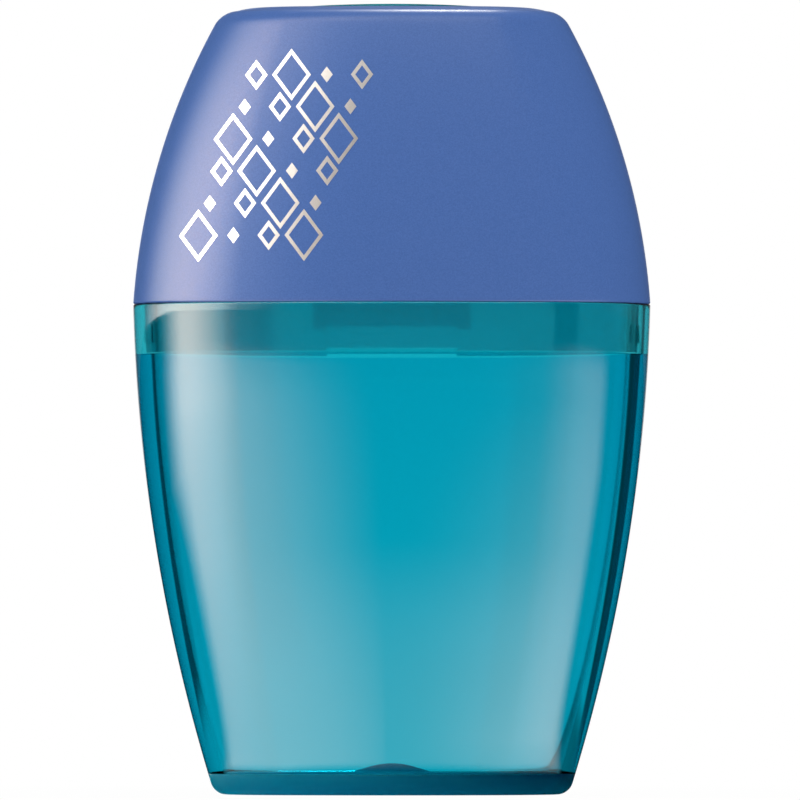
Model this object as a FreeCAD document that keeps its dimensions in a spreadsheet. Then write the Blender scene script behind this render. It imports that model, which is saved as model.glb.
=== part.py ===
"""Canister pencil sharpener: a pearl cap over a clear inner frame, which plugs into a clear receptacle.

The frame carries a wedge sharpener with its blade and screw. Origin at the centre of the base,
+Z up along the pencil's path, +X across the width, and the printed front facing -Y. Millimetres.
"""
import FreeCAD, Part
import Sketcher
import math
import os

DIMENSIONS = (
    ("split_height", 49.0, "joint line between receptacle and cap, above the base"),
    ("split_half_width", 25.87, "half width at the joint line, the widest place"),
    ("barrel_radius", 179.6, "arc of the receptacle's side outline"),
    ("barrel_centre", 53.65, "height of that arc's centre"),
    ("cap_radius", 68.15, "arc of the cap's side outline"),
    ("cap_centre", 44.28, "height of that arc's centre"),
    ("depth_ratio", 0.63, "depth of every level over its width"),
    ("end_ratio", 0.57, "radius of the round ends over the half width"),
    ("cap_height", 78.6, "top of the cap's crown"),
    ("crown_rise", 0.35, "how far the cap's crown rises above its rounded edge"),
    ("crown_reach", 6.0, "how far in from the side the crown levels out"),
    ("cap_edge_round", 1.3, "rounding of the cap's top edge"),
    ("seam_round", 0.2, "rounding of both edges at the joint line"),
    ("rim_wall", 1.5, "cap wall below the shoulder"),
    ("cap_wall", 2.0, "cap wall above the shoulder"),
    ("roof_height", 77.0, "underside of the cap's roof"),
    ("receptacle_wall", 1.5, "side wall of the receptacle at its foot"),
    ("wall_gain", 0.45, "how much thicker that wall would be at the joint line"),
    ("rabbet_wall", 0.7, "thin lip that the receptacle keeps round the skirt"),
    ("rabbet_depth", 5.0, "how far down that lip reaches"),
    ("floor_height", 2.06, "top of the receptacle's floor"),
    ("base_round", 1.1, "outer rounding of the receptacle's base"),
    ("floor_round", 0.8, "inner rounding where wall meets floor"),
    ("dome_radius", 4.1, "half chord of the moulding gate's dome on the floor"),
    ("dome_rise", 1.2, "height of that dome"),
    ("dimple_radius", 3.2, "half chord of the gate dimple under the dome"),
    ("dimple_depth", 1.2, "depth of that dimple"),
    ("ring_rise", 5.0, "how far the frame's ring stands up inside the cap"),
    ("ring_wall", 1.2, "wall of the frame's ring and skirt"),
    ("ring_gap", 0.15, "gap between ring and cap"),
    ("bead_height", 51.5, "middle of the snap bead that holds the cap"),
    ("bead_half", 0.7, "half height of the snap bead"),
    ("bead_proud", 0.3, "how far the bead stands out of the ring"),
    ("skirt_depth", 4.85, "how far the skirt plugs into the receptacle"),
    ("skirt_gap", 0.4, "gap between skirt and receptacle"),
    ("notch_rise", 0.2, "shallow notch in the skirt below the friction pads"),
    ("pad_width", 13.0, "friction pad on the skirt, across"),
    ("pad_rise", 3.6, "friction pad, upwards"),
    ("pad_proud", 0.2, "how far pads and end ridges stand out of the skirt"),
    ("ridge_height", 45.1, "underside of the end ridges on the skirt"),
    ("ridge_rise", 1.8, "end ridge, upwards"),
    ("ridge_angle", 24.0, "half of an end ridge's sweep, degrees"),
    ("tower_gap", 0.1, "gap between block and frame"),
    ("tower_wall", 1.4, "walls of the frame's tower"),
    ("cheek_foot", 49.4, "underside of the cheeks that span the ring"),
    ("cheek_reach", 13.6, "half length of those cheeks"),
    ("shield_foot", 46.6, "lower edge of the thin shield below the tower's back wall"),
    ("shield_wall", 0.7, "thickness of that shield"),
    ("lip_depth", 2.0, "front lips that keep the block's foot from tipping out"),
    ("lip_reach", 1.3, "how far the lips stand in from the cheeks"),
    ("lip_gap", 1.0, "room for the blade behind the lips"),
    ("plate_thickness", 1.6, "plate that closes the tower under the boss"),
    ("hook_reach", 0.8, "how far the hooks stand in under the block"),
    ("hook_start", 1.4, "front end of the hooks, behind the point's axis"),
    ("hook_length", 4.0, "length of the hooks along the block"),
    ("port_half_width", 9.2, "half width of the oval boss round the pencil hole"),
    ("port_half_depth", 6.2, "half depth of that boss"),
    ("port_end_radius", 5.4, "radius of the boss's round ends"),
    ("port_top", 78.97, "top of the boss's crown, before the hole is cut"),
    ("port_crown", 0.3, "how far the boss's crowned top falls towards its round ends"),
    ("port_gap", 0.15, "gap between boss and cap"),
    ("port_radius", 4.3, "radius of the pencil hole"),
    ("funnel_radius", 5.4, "radius of the hole's funnel at the top"),
    ("funnel_depth", 1.37, "depth of that funnel"),
    ("block_foot", 50.4, "lower end of the sharpener block"),
    ("block_width", 15.7, "sharpener block, across"),
    ("block_depth", 12.0, "sharpener block, front to back"),
    ("block_length", 24.4, "sharpener block, upwards"),
    ("collar_length", 3.6, "full depth collar at the block's mouth"),
    ("bore_radius", 4.1, "straight part of the block's bore"),
    ("bore_straight", 4.6, "length of that straight part"),
    ("cone_angle", 11.5, "half angle of the point, degrees"),
    ("tip_radius", 0.7, "radius of the hole at the point"),
    ("bite", 0.2, "how far the blade face lies inside the cone"),
    ("throat_angle", 22.0, "slope of the chip throat beside the blade, degrees"),
    ("knurl_pitch", 1.6, "spacing of the grip grooves on the block's sides"),
    ("knurl_depth", 0.5, "depth of those grooves"),
    ("knurl_start", 56.0, "height of the lowest groove"),
    ("blade_width", 7.5, "blade, from back to cutting edge"),
    ("blade_length", 20.4, "blade, along the point's slope"),
    ("blade_thickness", 0.6, "blade thickness"),
    ("blade_foot", 0.4, "blade end above the block's foot, along the slope"),
    ("blade_overhang", 0.12, "cutting edge past the point's middle plane"),
    ("edge_land", 0.06, "thickness left at the cutting edge"),
    ("bevel_width", 1.6, "ground bevel behind the cutting edge"),
    ("screw_across", 4.4, "screw centre beside the point's middle plane"),
    ("screw_along", 11.2, "screw centre up the slope from the block's foot"),
    ("screw_radius", 1.15, "screw shank"),
    ("screw_reach", 5.0, "screw shank below the blade"),
    ("thread_gap", 0.05, "gap between shank and tapped hole"),
    ("blade_hole_gap", 0.2, "gap between shank and blade hole"),
    ("head_radius", 2.2, "screw head"),
    ("head_rise", 1.1, "screw head above the blade"),
    ("head_round", 0.4, "rounding of the screw head"),
    ("slot_width", 0.6, "screwdriver slot, across"),
    ("slot_depth", 0.5, "screwdriver slot, deep"),
    ("run_in", 2.0, "how far outside the material a cut starts"),
)

KNURL_COUNT = 7
SECTION_COUNT = 5
ROUND_STEPS = 4
CROWN_STEPS = 3

doc = FreeCAD.newDocument("canister_sharpener")
sheet = doc.addObject("Spreadsheet::Sheet", "dims")
for row, (alias, value, note) in enumerate(DIMENSIONS, start=1):
    sheet.set(f"A{row}", alias)
    sheet.set(f"B{row}", str(value))
    sheet.setAlias(f"B{row}", alias)
    sheet.set(f"C{row}", note)
desk = doc.addObject("Spreadsheet::Sheet", "desk")
doc.recompute()


# Expressions for the outline, the oval levels and the block's slope
def arc_half_width(radius, centre, height):
    """Half width at a height on a side arc that passes through the joint line."""
    at_split = f"sqrt(dims.{radius}^2 - (dims.split_height - dims.{centre})^2)"
    at_height = f"sqrt(dims.{radius}^2 - ({height} - dims.{centre})^2)"
    return f"(dims.split_half_width - {at_split} + {at_height})"


def barrel_half_width(height):
    return arc_half_width("barrel_radius", "barrel_centre", height)


def cap_half_width(height):
    return arc_half_width("cap_radius", "cap_centre", height)


SIDE_RADIUS_RATIO = (
    "((dims.depth_ratio^2 + (1 - dims.end_ratio)^2 - dims.end_ratio^2)"
    " / (2 * (dims.depth_ratio - dims.end_ratio)))"
)
SIDE_CENTRE_RATIO = f"({SIDE_RADIUS_RATIO} - dims.depth_ratio)"
SLOPE = "tan(dims.cone_angle * 1 deg)"
BLOCK_TOP = "(dims.block_foot + dims.block_length)"
CONE_TOP = f"({BLOCK_TOP} - dims.bore_straight)"
RING_TOP = "(dims.split_height + dims.ring_rise)"
SKIRT_FOOT = "(dims.split_height - dims.skirt_depth)"
SKIRT_INSET = "(dims.rabbet_wall + dims.skirt_gap)"
CHEEK_INSIDE = "(dims.block_width / 2 + dims.tower_gap)"
CHEEK_OUTSIDE = f"({CHEEK_INSIDE} + dims.tower_wall)"
BACK_INSIDE = "(dims.block_depth / 2 + dims.tower_gap)"
BACK_OUTSIDE = f"({BACK_INSIDE} + dims.tower_wall)"


def blade_face(height):
    """Depth of the block's sloping blade face at a height."""
    return f"(dims.bite - dims.bore_radius + ({CONE_TOP} - {height}) * {SLOPE})"


# Bodies, sketches and their constraints
def new_body(label):
    body = doc.addObject("PartDesign::Body", label)
    body.Label = label
    return body


def new_sketch(body, name, role, offset="0"):
    """A sketch on one of the body's own origin planes, lifted along the plane's normal."""
    sketch = body.newObject("Sketcher::SketchObject", name)
    plane = next(p for p in body.Origin.OriginFeatures if p.Role == role)
    sketch.AttachmentSupport = [(plane, "")]
    sketch.MapMode = "FlatFace"
    sketch.setExpression("AttachmentOffset.Base.z", offset)
    return sketch


def number(expression):
    """The present value of an expression, worked out in a spare cell, for a sketch's first drawing."""
    desk.set("A1", f"={expression}")
    desk.recompute()
    value = desk.get("A1")
    return float(getattr(value, "Value", value))


def fix_distance(sketch, kind, first, second, expression, name):
    """Binds the distance from point first to point second to an expression."""
    index = sketch.addConstraint(Sketcher.Constraint(kind, *first, *second, number(expression)))
    sketch.renameConstraint(index, name)
    sketch.setExpression(f"Constraints.{name}", expression)


def fix_radius(sketch, edge, expression, name):
    index = sketch.addConstraint(Sketcher.Constraint("Radius", edge, number(expression)))
    sketch.renameConstraint(index, name)
    sketch.setExpression(f"Constraints.{name}", expression)


ORIGIN = (-1, 1)
X_AXIS = -1
Y_AXIS = -2


def fix_point(sketch, edge, end, across, up, name):
    """Pins the end of an edge at (across, up); a zero puts it on the axis itself."""
    for kind, axis, expression in (("DistanceX", Y_AXIS, across), ("DistanceY", X_AXIS, up)):
        if expression == "0":
            sketch.addConstraint(Sketcher.Constraint("PointOnObject", edge, end, axis))
        else:
            fix_distance(sketch, kind, ORIGIN, (edge, end), expression, f"{name}_{kind[-1]}")


def polygon(sketch, corners):
    """A closed outline of straight edges whose corners are pairs of expressions."""
    points = [FreeCAD.Vector(number(x), number(y), 0) for x, y in corners]
    first = sketch.GeometryCount
    for start, end in zip(points, points[1:] + points[:1]):
        sketch.addGeometry(Part.LineSegment(start, end))
    count = len(points)
    for index in range(count):
        after = first + (index + 1) % count
        sketch.addConstraint(Sketcher.Constraint("Coincident", first + index, 2, after, 1))
    for index, (x, y) in enumerate(corners):
        fix_point(sketch, first + index, 1, x, y, f"corner{first + index}")


def rectangle(sketch, left, right, low, high):
    polygon(sketch, [(left, low), (right, low), (right, high), (left, high)])


def circle(sketch, across, up, radius):
    centre = FreeCAD.Vector(number(across), number(up), 0)
    edge = sketch.addGeometry(Part.Circle(centre, FreeCAD.Vector(0, 0, 1), number(radius)))
    fix_point(sketch, edge, 3, across, up, f"centre{edge}")
    fix_radius(sketch, edge, radius, f"radius{edge}")


def four_arc_oval(sketch, end_centre, side_centre, end_radius):
    """An oval of two round ends and two long sides, which meet where their tangents agree."""
    across = f"sqrt({end_centre}^2 + {side_centre}^2)"
    joint_x = f"({end_centre} + {end_radius} * {end_centre} / {across})"
    joint_y = f"({end_radius} * {side_centre} / {across})"
    side_radius = f"({end_radius} + {across})"
    c, d = number(end_centre), number(side_centre)
    turn = math.atan2(d, c)
    arcs = (
        ((c, 0), end_radius, -turn, turn, joint_x, f"-{joint_y}"),
        ((0, -d), side_radius, turn, math.pi - turn, joint_x, joint_y),
        ((-c, 0), end_radius, math.pi - turn, math.pi + turn, f"-{joint_x}", joint_y),
        ((0, d), side_radius, math.pi + turn, 2 * math.pi - turn, f"-{joint_x}", f"-{joint_y}"),
    )
    for (x, y), radius, start, end, _, _ in arcs:
        ring = Part.Circle(FreeCAD.Vector(x, y, 0), FreeCAD.Vector(0, 0, 1), number(radius))
        sketch.addGeometry(Part.ArcOfCircle(ring, start, end))
    for edge, (_, radius, _, _, start_x, start_y) in enumerate(arcs):
        sketch.addConstraint(Sketcher.Constraint("Coincident", edge, 2, (edge + 1) % len(arcs), 1))
        fix_point(sketch, edge, 1, start_x, start_y, f"joint{edge}")
        fix_radius(sketch, edge, radius, f"radius{edge}")


def level_oval(body, name, height, half_width, inset):
    """The oval of one level, drawn in from the outline by an inset."""
    sketch = new_sketch(body, name, "XY_Plane", height)
    four_arc_oval(
        sketch,
        f"({half_width} * (1 - dims.end_ratio))",
        f"({half_width} * {SIDE_CENTRE_RATIO})",
        f"({half_width} * dims.end_ratio - ({inset}))",
    )
    return sketch


def oval_loft(body, name, kind, half_width, levels):
    """A loft through level ovals, given as pairs of height and inset."""
    sections = []
    for index, (height, inset) in enumerate(levels):
        sections.append(level_oval(body, f"{name}_level_{index}", height, half_width(height), inset))
    doc.recompute()
    loft = body.newObject(kind, name)
    loft.Profile = sections[0]
    loft.Sections = sections[1:]
    doc.recompute()
    return loft


def even_levels(low, high, inset, count=SECTION_COUNT):
    """Levels at even steps between two heights, all with the same inset."""
    return [(f"({low} + ({high} - ({low})) * {step} / {count - 1})", inset) for step in range(count)]


def round_levels(edge, radius, inset, up):
    """Levels of a quarter round that draws in towards an edge height, from below or from above."""
    levels = []
    for step in range(ROUND_STEPS + 1):
        turn = f"({step} * 90 deg / {ROUND_STEPS})"
        drawn_in = f"({inset} + {radius} * (1 - sin({turn})))"
        away = f"({radius} * (1 - cos({turn})))"
        levels.append((f"({edge} - {away})" if up else f"({edge} + {away})", drawn_in))
    return levels[::-1] if up else levels


def pad(body, sketch, name, length):
    feature = body.newObject("PartDesign::Pad", name)
    feature.Profile = sketch
    feature.setExpression("Length", length)
    doc.recompute()
    return feature


def cut_down(body, sketch, name, depth):
    """A pocket that goes against its sketch's normal."""
    feature = body.newObject("PartDesign::Pocket", name)
    feature.Profile = sketch
    feature.setExpression("Length", depth)
    doc.recompute()
    return feature


def turned(body, sketch, name, kind):
    """A full turn of a sketch about the body's Z axis."""
    feature = body.newObject(kind, name)
    feature.Profile = sketch
    axis = next(a for a in body.Origin.OriginFeatures if a.Role == "Z_Axis")
    feature.ReferenceAxis = (axis, [""])
    feature.Angle = 360
    doc.recompute()
    return feature


# Receptacle: the clear bin for the shavings
def wall_inset(height):
    """Thickness of the receptacle's wall, which grows evenly from its foot to the joint line."""
    return f"(dims.receptacle_wall + dims.wall_gain * {height} / dims.split_height)"


def make_receptacle():
    body = new_body("receptacle")
    add, cut = "PartDesign::AdditiveLoft", "PartDesign::SubtractiveLoft"
    split, base, floor = "dims.split_height", "dims.base_round", "dims.floor_height"
    seam = "(dims.split_height - dims.seam_round)"
    corner_top = "(dims.floor_height + dims.floor_round)"
    oval_loft(body, "base", add, barrel_half_width, round_levels("0", base, "0", up=False))
    oval_loft(body, "side", add, barrel_half_width, even_levels(base, seam, "0"))
    oval_loft(body, "rim", add, barrel_half_width, round_levels(split, "dims.seam_round", "0", up=True))
    cavity = [(height, wall_inset(height)) for height, _ in even_levels(corner_top, split, "0")]
    oval_loft(body, "cavity", cut, barrel_half_width, cavity)
    floor_corner = round_levels(floor, "dims.floor_round", wall_inset(corner_top), up=False)
    oval_loft(body, "cavity_floor", cut, barrel_half_width, floor_corner)
    rabbet = even_levels("(dims.split_height - dims.rabbet_depth)", split, "dims.rabbet_wall", count=3)
    oval_loft(body, "rabbet", cut, barrel_half_width, rabbet)
    gate_bump(body, "dome", "PartDesign::Revolution", floor, "dims.dome_radius", "dims.dome_rise")
    gate_bump(body, "dimple", "PartDesign::Groove", "0", "dims.dimple_radius", "dims.dimple_depth")
    return body


def gate_bump(body, name, kind, base, radius, rise):
    """A shallow spherical cap standing on a level, turned about the middle."""
    sketch = new_sketch(body, f"{name}_outline", "XZ_Plane")
    sphere = f"(({radius}^2 + {rise}^2) / (2 * {rise}))"
    centre = f"({base} + {rise} - {sphere})"
    r, low, top, mid = number(radius), number(base), number(f"{base} + {rise}"), number(centre)
    reach = math.atan2(low - mid, r)
    ring = Part.Circle(FreeCAD.Vector(0, mid, 0), FreeCAD.Vector(0, 0, 1), number(sphere))
    sketch.addGeometry(Part.ArcOfCircle(ring, reach, math.pi / 2))
    corners = [FreeCAD.Vector(0, top, 0), FreeCAD.Vector(0, low, 0), FreeCAD.Vector(r, low, 0)]
    sketch.addGeometry(Part.LineSegment(corners[0], corners[1]))
    sketch.addGeometry(Part.LineSegment(corners[1], corners[2]))
    sketch.addConstraint(Sketcher.Constraint("Coincident", 0, 2, 1, 1))
    sketch.addConstraint(Sketcher.Constraint("Coincident", 1, 2, 2, 1))
    sketch.addConstraint(Sketcher.Constraint("Coincident", 2, 2, 0, 1))
    fix_point(sketch, 1, 1, "0", f"{base} + {rise}", "top")
    fix_point(sketch, 1, 2, "0", base, "foot")
    fix_point(sketch, 2, 2, radius, base, "rim")
    sketch.addConstraint(Sketcher.Constraint("PointOnObject", 0, 3, Y_AXIS))
    doc.recompute()
    return turned(body, sketch, name, kind)


# Cap shell: the pearl cover, open below and with an oval opening for the pencil boss
CAP_EDGE = "(dims.cap_height - dims.crown_rise)"
SHOULDER = f"({RING_TOP} + dims.ring_gap)"


def bead_levels(inset):
    """Levels of the snap bead, or of its groove, which swell out from an inset."""
    middle, half = "dims.bead_height", "dims.bead_half"
    return [
        (f"({middle} - {half})", inset),
        (middle, f"({inset} - dims.bead_proud)"),
        (f"({middle} + {half})", inset),
    ]


def crown_levels():
    """Levels of the shallow crown, which rises from the rounded edge and levels out."""
    levels = []
    for step in range(CROWN_STEPS + 1):
        share = f"({step} / {CROWN_STEPS})"
        height = f"({CAP_EDGE} + dims.crown_rise * (1 - (1 - {share})^2))"
        inset = f"(dims.cap_edge_round + (dims.crown_reach - dims.cap_edge_round) * {share})"
        levels.append((height, inset))
    return levels


def port_oval(sketch, growth):
    """The outline of the pencil boss, grown outwards all round."""
    end_centre = "(dims.port_half_width - dims.port_end_radius)"
    spread = f"(dims.port_half_depth^2 + {end_centre}^2 - dims.port_end_radius^2)"
    side_radius = f"({spread} / (2 * (dims.port_half_depth - dims.port_end_radius)))"
    side_centre = f"({side_radius} - dims.port_half_depth)"
    four_arc_oval(sketch, end_centre, side_centre, f"(dims.port_end_radius + {growth})")


def make_cap_shell():
    body = new_body("cap_shell")
    add, cut = "PartDesign::AdditiveLoft", "PartDesign::SubtractiveLoft"
    split, seam, edge = "dims.split_height", "dims.seam_round", "dims.cap_edge_round"
    side_low, side_high = f"({split} + {seam})", f"({CAP_EDGE} - {edge})"
    shoulder_hollow = even_levels(SHOULDER, "dims.roof_height", "dims.cap_wall")
    rim_hollow = even_levels(split, SHOULDER, "dims.rim_wall", count=3)
    oval_loft(body, "rim", add, cap_half_width, round_levels(split, seam, "0", up=False))
    oval_loft(body, "side", add, cap_half_width, even_levels(side_low, side_high, "0"))
    oval_loft(body, "edge", add, cap_half_width, round_levels(CAP_EDGE, edge, "0", up=True))
    oval_loft(body, "crown", add, cap_half_width, crown_levels())
    oval_loft(body, "hollow", cut, cap_half_width, shoulder_hollow)
    oval_loft(body, "rim_hollow", cut, cap_half_width, rim_hollow)
    oval_loft(body, "bead_groove", cut, cap_half_width, bead_levels("dims.rim_wall"))
    opening = new_sketch(body, "opening_outline", "XY_Plane", "dims.port_top")
    port_oval(opening, "dims.port_gap")
    doc.recompute()
    cut_down(body, opening, "opening", "dims.port_top - dims.roof_height + dims.cap_wall")
    return body


# Inner frame: skirt, ring, tower for the block and the boss with the pencil hole
def sector(sketch, centre, radii, middle, half):
    """A curved strip between two radii about a centre, over an angle each side of its middle."""
    angles = [f"({middle} - {half})", f"({middle} + {half})"]
    inner, outer = radii

    def point(radius, angle):
        return f"({centre[0]} + {radius} * cos({angle}))", f"({centre[1]} + {radius} * sin({angle}))"

    hub = FreeCAD.Vector(number(centre[0]), number(centre[1]), 0)
    sweep = [math.radians(number(angle)) for angle in angles]
    for radius in (outer, inner):
        ring = Part.Circle(hub, FreeCAD.Vector(0, 0, 1), number(radius))
        sketch.addGeometry(Part.ArcOfCircle(ring, *sweep))
    corners = [point(radius, angle) for radius in (outer, inner) for angle in angles]
    spots = [FreeCAD.Vector(number(x), number(y), 0) for x, y in corners]
    sketch.addGeometry(Part.LineSegment(spots[1], spots[3]))
    sketch.addGeometry(Part.LineSegment(spots[2], spots[0]))
    for first, second in (((0, 2), (2, 1)), ((2, 2), (1, 2)), ((1, 1), (3, 1)), ((3, 2), (0, 1))):
        sketch.addConstraint(Sketcher.Constraint("Coincident", *first, *second))
    for index, (edge, end) in enumerate(((0, 1), (0, 2), (1, 1), (1, 2))):
        fix_point(sketch, edge, end, *corners[index], f"corner{index}")
    fix_radius(sketch, 0, outer, "outer_radius")
    fix_radius(sketch, 1, inner, "inner_radius")


def mirrored(body, features, name, role):
    mirror = body.newObject("PartDesign::Mirrored", name)
    mirror.Originals = features
    plane = next(p for p in body.Origin.OriginFeatures if p.Role == role)
    mirror.MirrorPlane = (plane, [""])
    body.Tip = mirror
    doc.recompute()
    return mirror


def skirt_strips(body):
    """Friction pads on the skirt's long sides and ridges on its round ends."""
    foot_half_width = barrel_half_width(SKIRT_FOOT)
    end_centre = f"({foot_half_width} * (1 - dims.end_ratio))"
    side_centre = f"({foot_half_width} * {SIDE_CENTRE_RATIO})"
    end_radius = f"({foot_half_width} * dims.end_ratio - {SKIRT_INSET})"
    side_radius = f"({end_radius} + sqrt({end_centre}^2 + {side_centre}^2))"
    pad_half = f"asin(dims.pad_width / 2 / {side_radius})"
    front_pad = new_sketch(body, "pad_outline", "XY_Plane", SKIRT_FOOT)
    sector(
        front_pad,
        ("0", side_centre),
        (f"({side_radius} - dims.ring_wall / 2)", f"({side_radius} + dims.pad_proud)"),
        "270 deg",
        pad_half,
    )
    doc.recompute()
    pads = pad(body, front_pad, "friction_pad", "dims.pad_rise")
    mirrored(body, [pads], "friction_pads", "XZ_Plane")
    right_ridge = new_sketch(body, "ridge_outline", "XY_Plane", "dims.ridge_height")
    sector(
        right_ridge,
        (end_centre, "0"),
        (f"({end_radius} - dims.ring_wall / 2)", f"({end_radius} + dims.pad_proud)"),
        "0 deg",
        "dims.ridge_angle * 1 deg",
    )
    doc.recompute()
    ridges = pad(body, right_ridge, "end_ridge", "dims.ridge_rise")
    mirrored(body, [ridges], "end_ridges", "YZ_Plane")
    notch = new_sketch(body, "notch_outline", "XZ_Plane", "dims.split_half_width")
    pad_end, notch_top = "dims.pad_width / 2", f"({SKIRT_FOOT} + dims.notch_rise)"
    rectangle(notch, f"-{pad_end}", pad_end, f"({SKIRT_FOOT} - dims.run_in)", notch_top)
    doc.recompute()
    cut_down(body, notch, "skirt_notch", "2 * dims.split_half_width")


def tower_box(body, name, low, high, left, right, front, back):
    """One straight wall of the tower; walls off the middle are mirrored to the other side."""
    sketch = new_sketch(body, f"{name}_outline", "XY_Plane", low)
    rectangle(sketch, left, right, front, back)
    doc.recompute()
    wall = pad(body, sketch, name, f"{high} - {low}")
    if number(left) > 0:
        mirrored(body, [wall], f"{name}_pair", "YZ_Plane")


def tower_walls(body):
    """Cheeks between the ring's long sides, the walls round the block, and what holds it in."""
    foot, plate_top = "dims.cheek_foot", f"({BLOCK_TOP} + dims.plate_thickness)"
    cheek = (CHEEK_INSIDE, CHEEK_OUTSIDE)
    whole_width = (f"-{CHEEK_OUTSIDE}", CHEEK_OUTSIDE)
    block_room = (f"-{BACK_INSIDE}", BACK_OUTSIDE)
    lip_back = f"({blade_face(RING_TOP)} - dims.lip_gap)"
    lip_front = f"({lip_back} - dims.lip_depth)"
    lip_inside = f"({CHEEK_INSIDE} - dims.lip_reach)"
    hook_inside = f"({CHEEK_INSIDE} - dims.hook_reach)"
    hook_back = "(dims.hook_start + dims.hook_length)"
    shield_side, shield_back = "dims.block_width / 2", f"({BACK_INSIDE} + dims.shield_wall)"
    shield_width = (f"-{shield_side}", shield_side)
    walls = (
        ("cheek", foot, RING_TOP, cheek, ("-dims.cheek_reach", "dims.cheek_reach")),
        ("side_wall", RING_TOP, plate_top, cheek, block_room),
        ("back_wall", foot, plate_top, whole_width, (BACK_INSIDE, BACK_OUTSIDE)),
        ("shield", "dims.shield_foot", foot, shield_width, (BACK_INSIDE, shield_back)),
        ("plate", BLOCK_TOP, plate_top, whole_width, block_room),
        ("lip", foot, RING_TOP, (lip_inside, CHEEK_OUTSIDE), (lip_front, lip_back)),
        ("hook", foot, "dims.block_foot", (hook_inside, CHEEK_OUTSIDE), ("dims.hook_start", hook_back)),
    )
    for name, low, high, across, deep in walls:
        tower_box(body, name, low, high, *across, *deep)


def make_inner_frame():
    body = new_body("inner_frame")
    add, cut = "PartDesign::AdditiveLoft", "PartDesign::SubtractiveLoft"
    split, skirt = "dims.split_height", SKIRT_INSET
    ring = "(dims.rim_wall + dims.ring_gap)"
    oval_loft(body, "skirt", add, barrel_half_width, even_levels(SKIRT_FOOT, split, skirt, count=3))
    oval_loft(body, "ring", add, cap_half_width, even_levels(split, RING_TOP, ring, count=3))
    oval_loft(body, "bead", add, cap_half_width, bead_levels(ring))
    skirt_inside = even_levels(SKIRT_FOOT, split, f"({skirt} + dims.ring_wall)", count=3)
    ring_inside = even_levels(split, RING_TOP, f"({ring} + dims.ring_wall)", count=3)
    oval_loft(body, "skirt_inside", cut, barrel_half_width, skirt_inside)
    oval_loft(body, "ring_inside", cut, cap_half_width, ring_inside)
    skirt_strips(body)
    tower_walls(body)
    boss = new_sketch(body, "boss_outline", "XY_Plane", BLOCK_TOP)
    port_oval(boss, "0")
    doc.recompute()
    pad(body, boss, "boss", f"dims.port_top - {BLOCK_TOP}")
    crown_boss(body)
    hole = new_sketch(body, "pencil_hole_outline", "XZ_Plane")
    radius, mouth = "dims.port_radius", "dims.funnel_radius"
    below, neck = f"({BLOCK_TOP} - dims.run_in)", "(dims.port_top - dims.funnel_depth)"
    top = "dims.port_top"
    polygon(hole, [("0", below), (radius, below), (radius, neck), (mouth, top), ("0", top)])
    doc.recompute()
    turned(body, hole, "pencil_hole", "PartDesign::Groove")
    return body


def crown_boss(body):
    """Takes off the boss's top outside a large ball, so that it falls towards the round ends."""
    sketch = new_sketch(body, "boss_crown_outline", "XZ_Plane")
    reach, fall, top = "dims.port_half_width", "dims.port_crown", "dims.port_top"
    ball = f"(({reach}^2 + {fall}^2) / (2 * {fall}))"
    above = f"({top} + dims.run_in)"
    r, high, low, over = number(reach), number(top), number(f"{top} - {fall}"), number(above)
    middle = high - number(ball)
    ring = Part.Circle(FreeCAD.Vector(0, middle, 0), FreeCAD.Vector(0, 0, 1), number(ball))
    sketch.addGeometry(Part.ArcOfCircle(ring, math.atan2(low - middle, r), math.pi / 2))
    corners = [FreeCAD.Vector(x, y, 0) for x, y in ((0, high), (0, over), (r, over), (r, low))]
    for start, end in zip(corners, corners[1:]):
        sketch.addGeometry(Part.LineSegment(start, end))
    for edge in range(4):
        sketch.addConstraint(Sketcher.Constraint("Coincident", edge, 2, (edge + 1) % 4, 1))
    fix_point(sketch, 1, 1, "0", top, "top")
    fix_point(sketch, 2, 1, "0", above, "above")
    fix_point(sketch, 3, 1, reach, above, "corner")
    fix_point(sketch, 3, 2, reach, f"({top} - {fall})", "end")
    sketch.addConstraint(Sketcher.Constraint("PointOnObject", 0, 3, Y_AXIS))
    doc.recompute()
    turned(body, sketch, "boss_crown", "PartDesign::Groove")


# Sharpener block: the wedge with its conical bore, chip throat and grip grooves
FOOT_FACE = blade_face("dims.block_foot")


def tilted_sketch(body, name, angle, along="0"):
    """A sketch whose origin lies on the blade face at the block's foot, turned about X by an angle."""
    sketch = new_sketch(body, name, "XY_Plane")
    sketch.AttachmentOffset = FreeCAD.Placement(
        FreeCAD.Vector(0, 0, 0), FreeCAD.Rotation(FreeCAD.Vector(1, 0, 0), number(angle))
    )
    lean = "dims.cone_angle * 1 deg"
    sketch.setExpression("AttachmentOffset.Base.y", f"{FOOT_FACE} - {along} * sin({lean})")
    sketch.setExpression("AttachmentOffset.Base.z", f"dims.block_foot + {along} * cos({lean})")
    sketch.setExpression("AttachmentOffset.Rotation.Angle", f"({angle}) * 1 deg")
    return sketch


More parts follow.
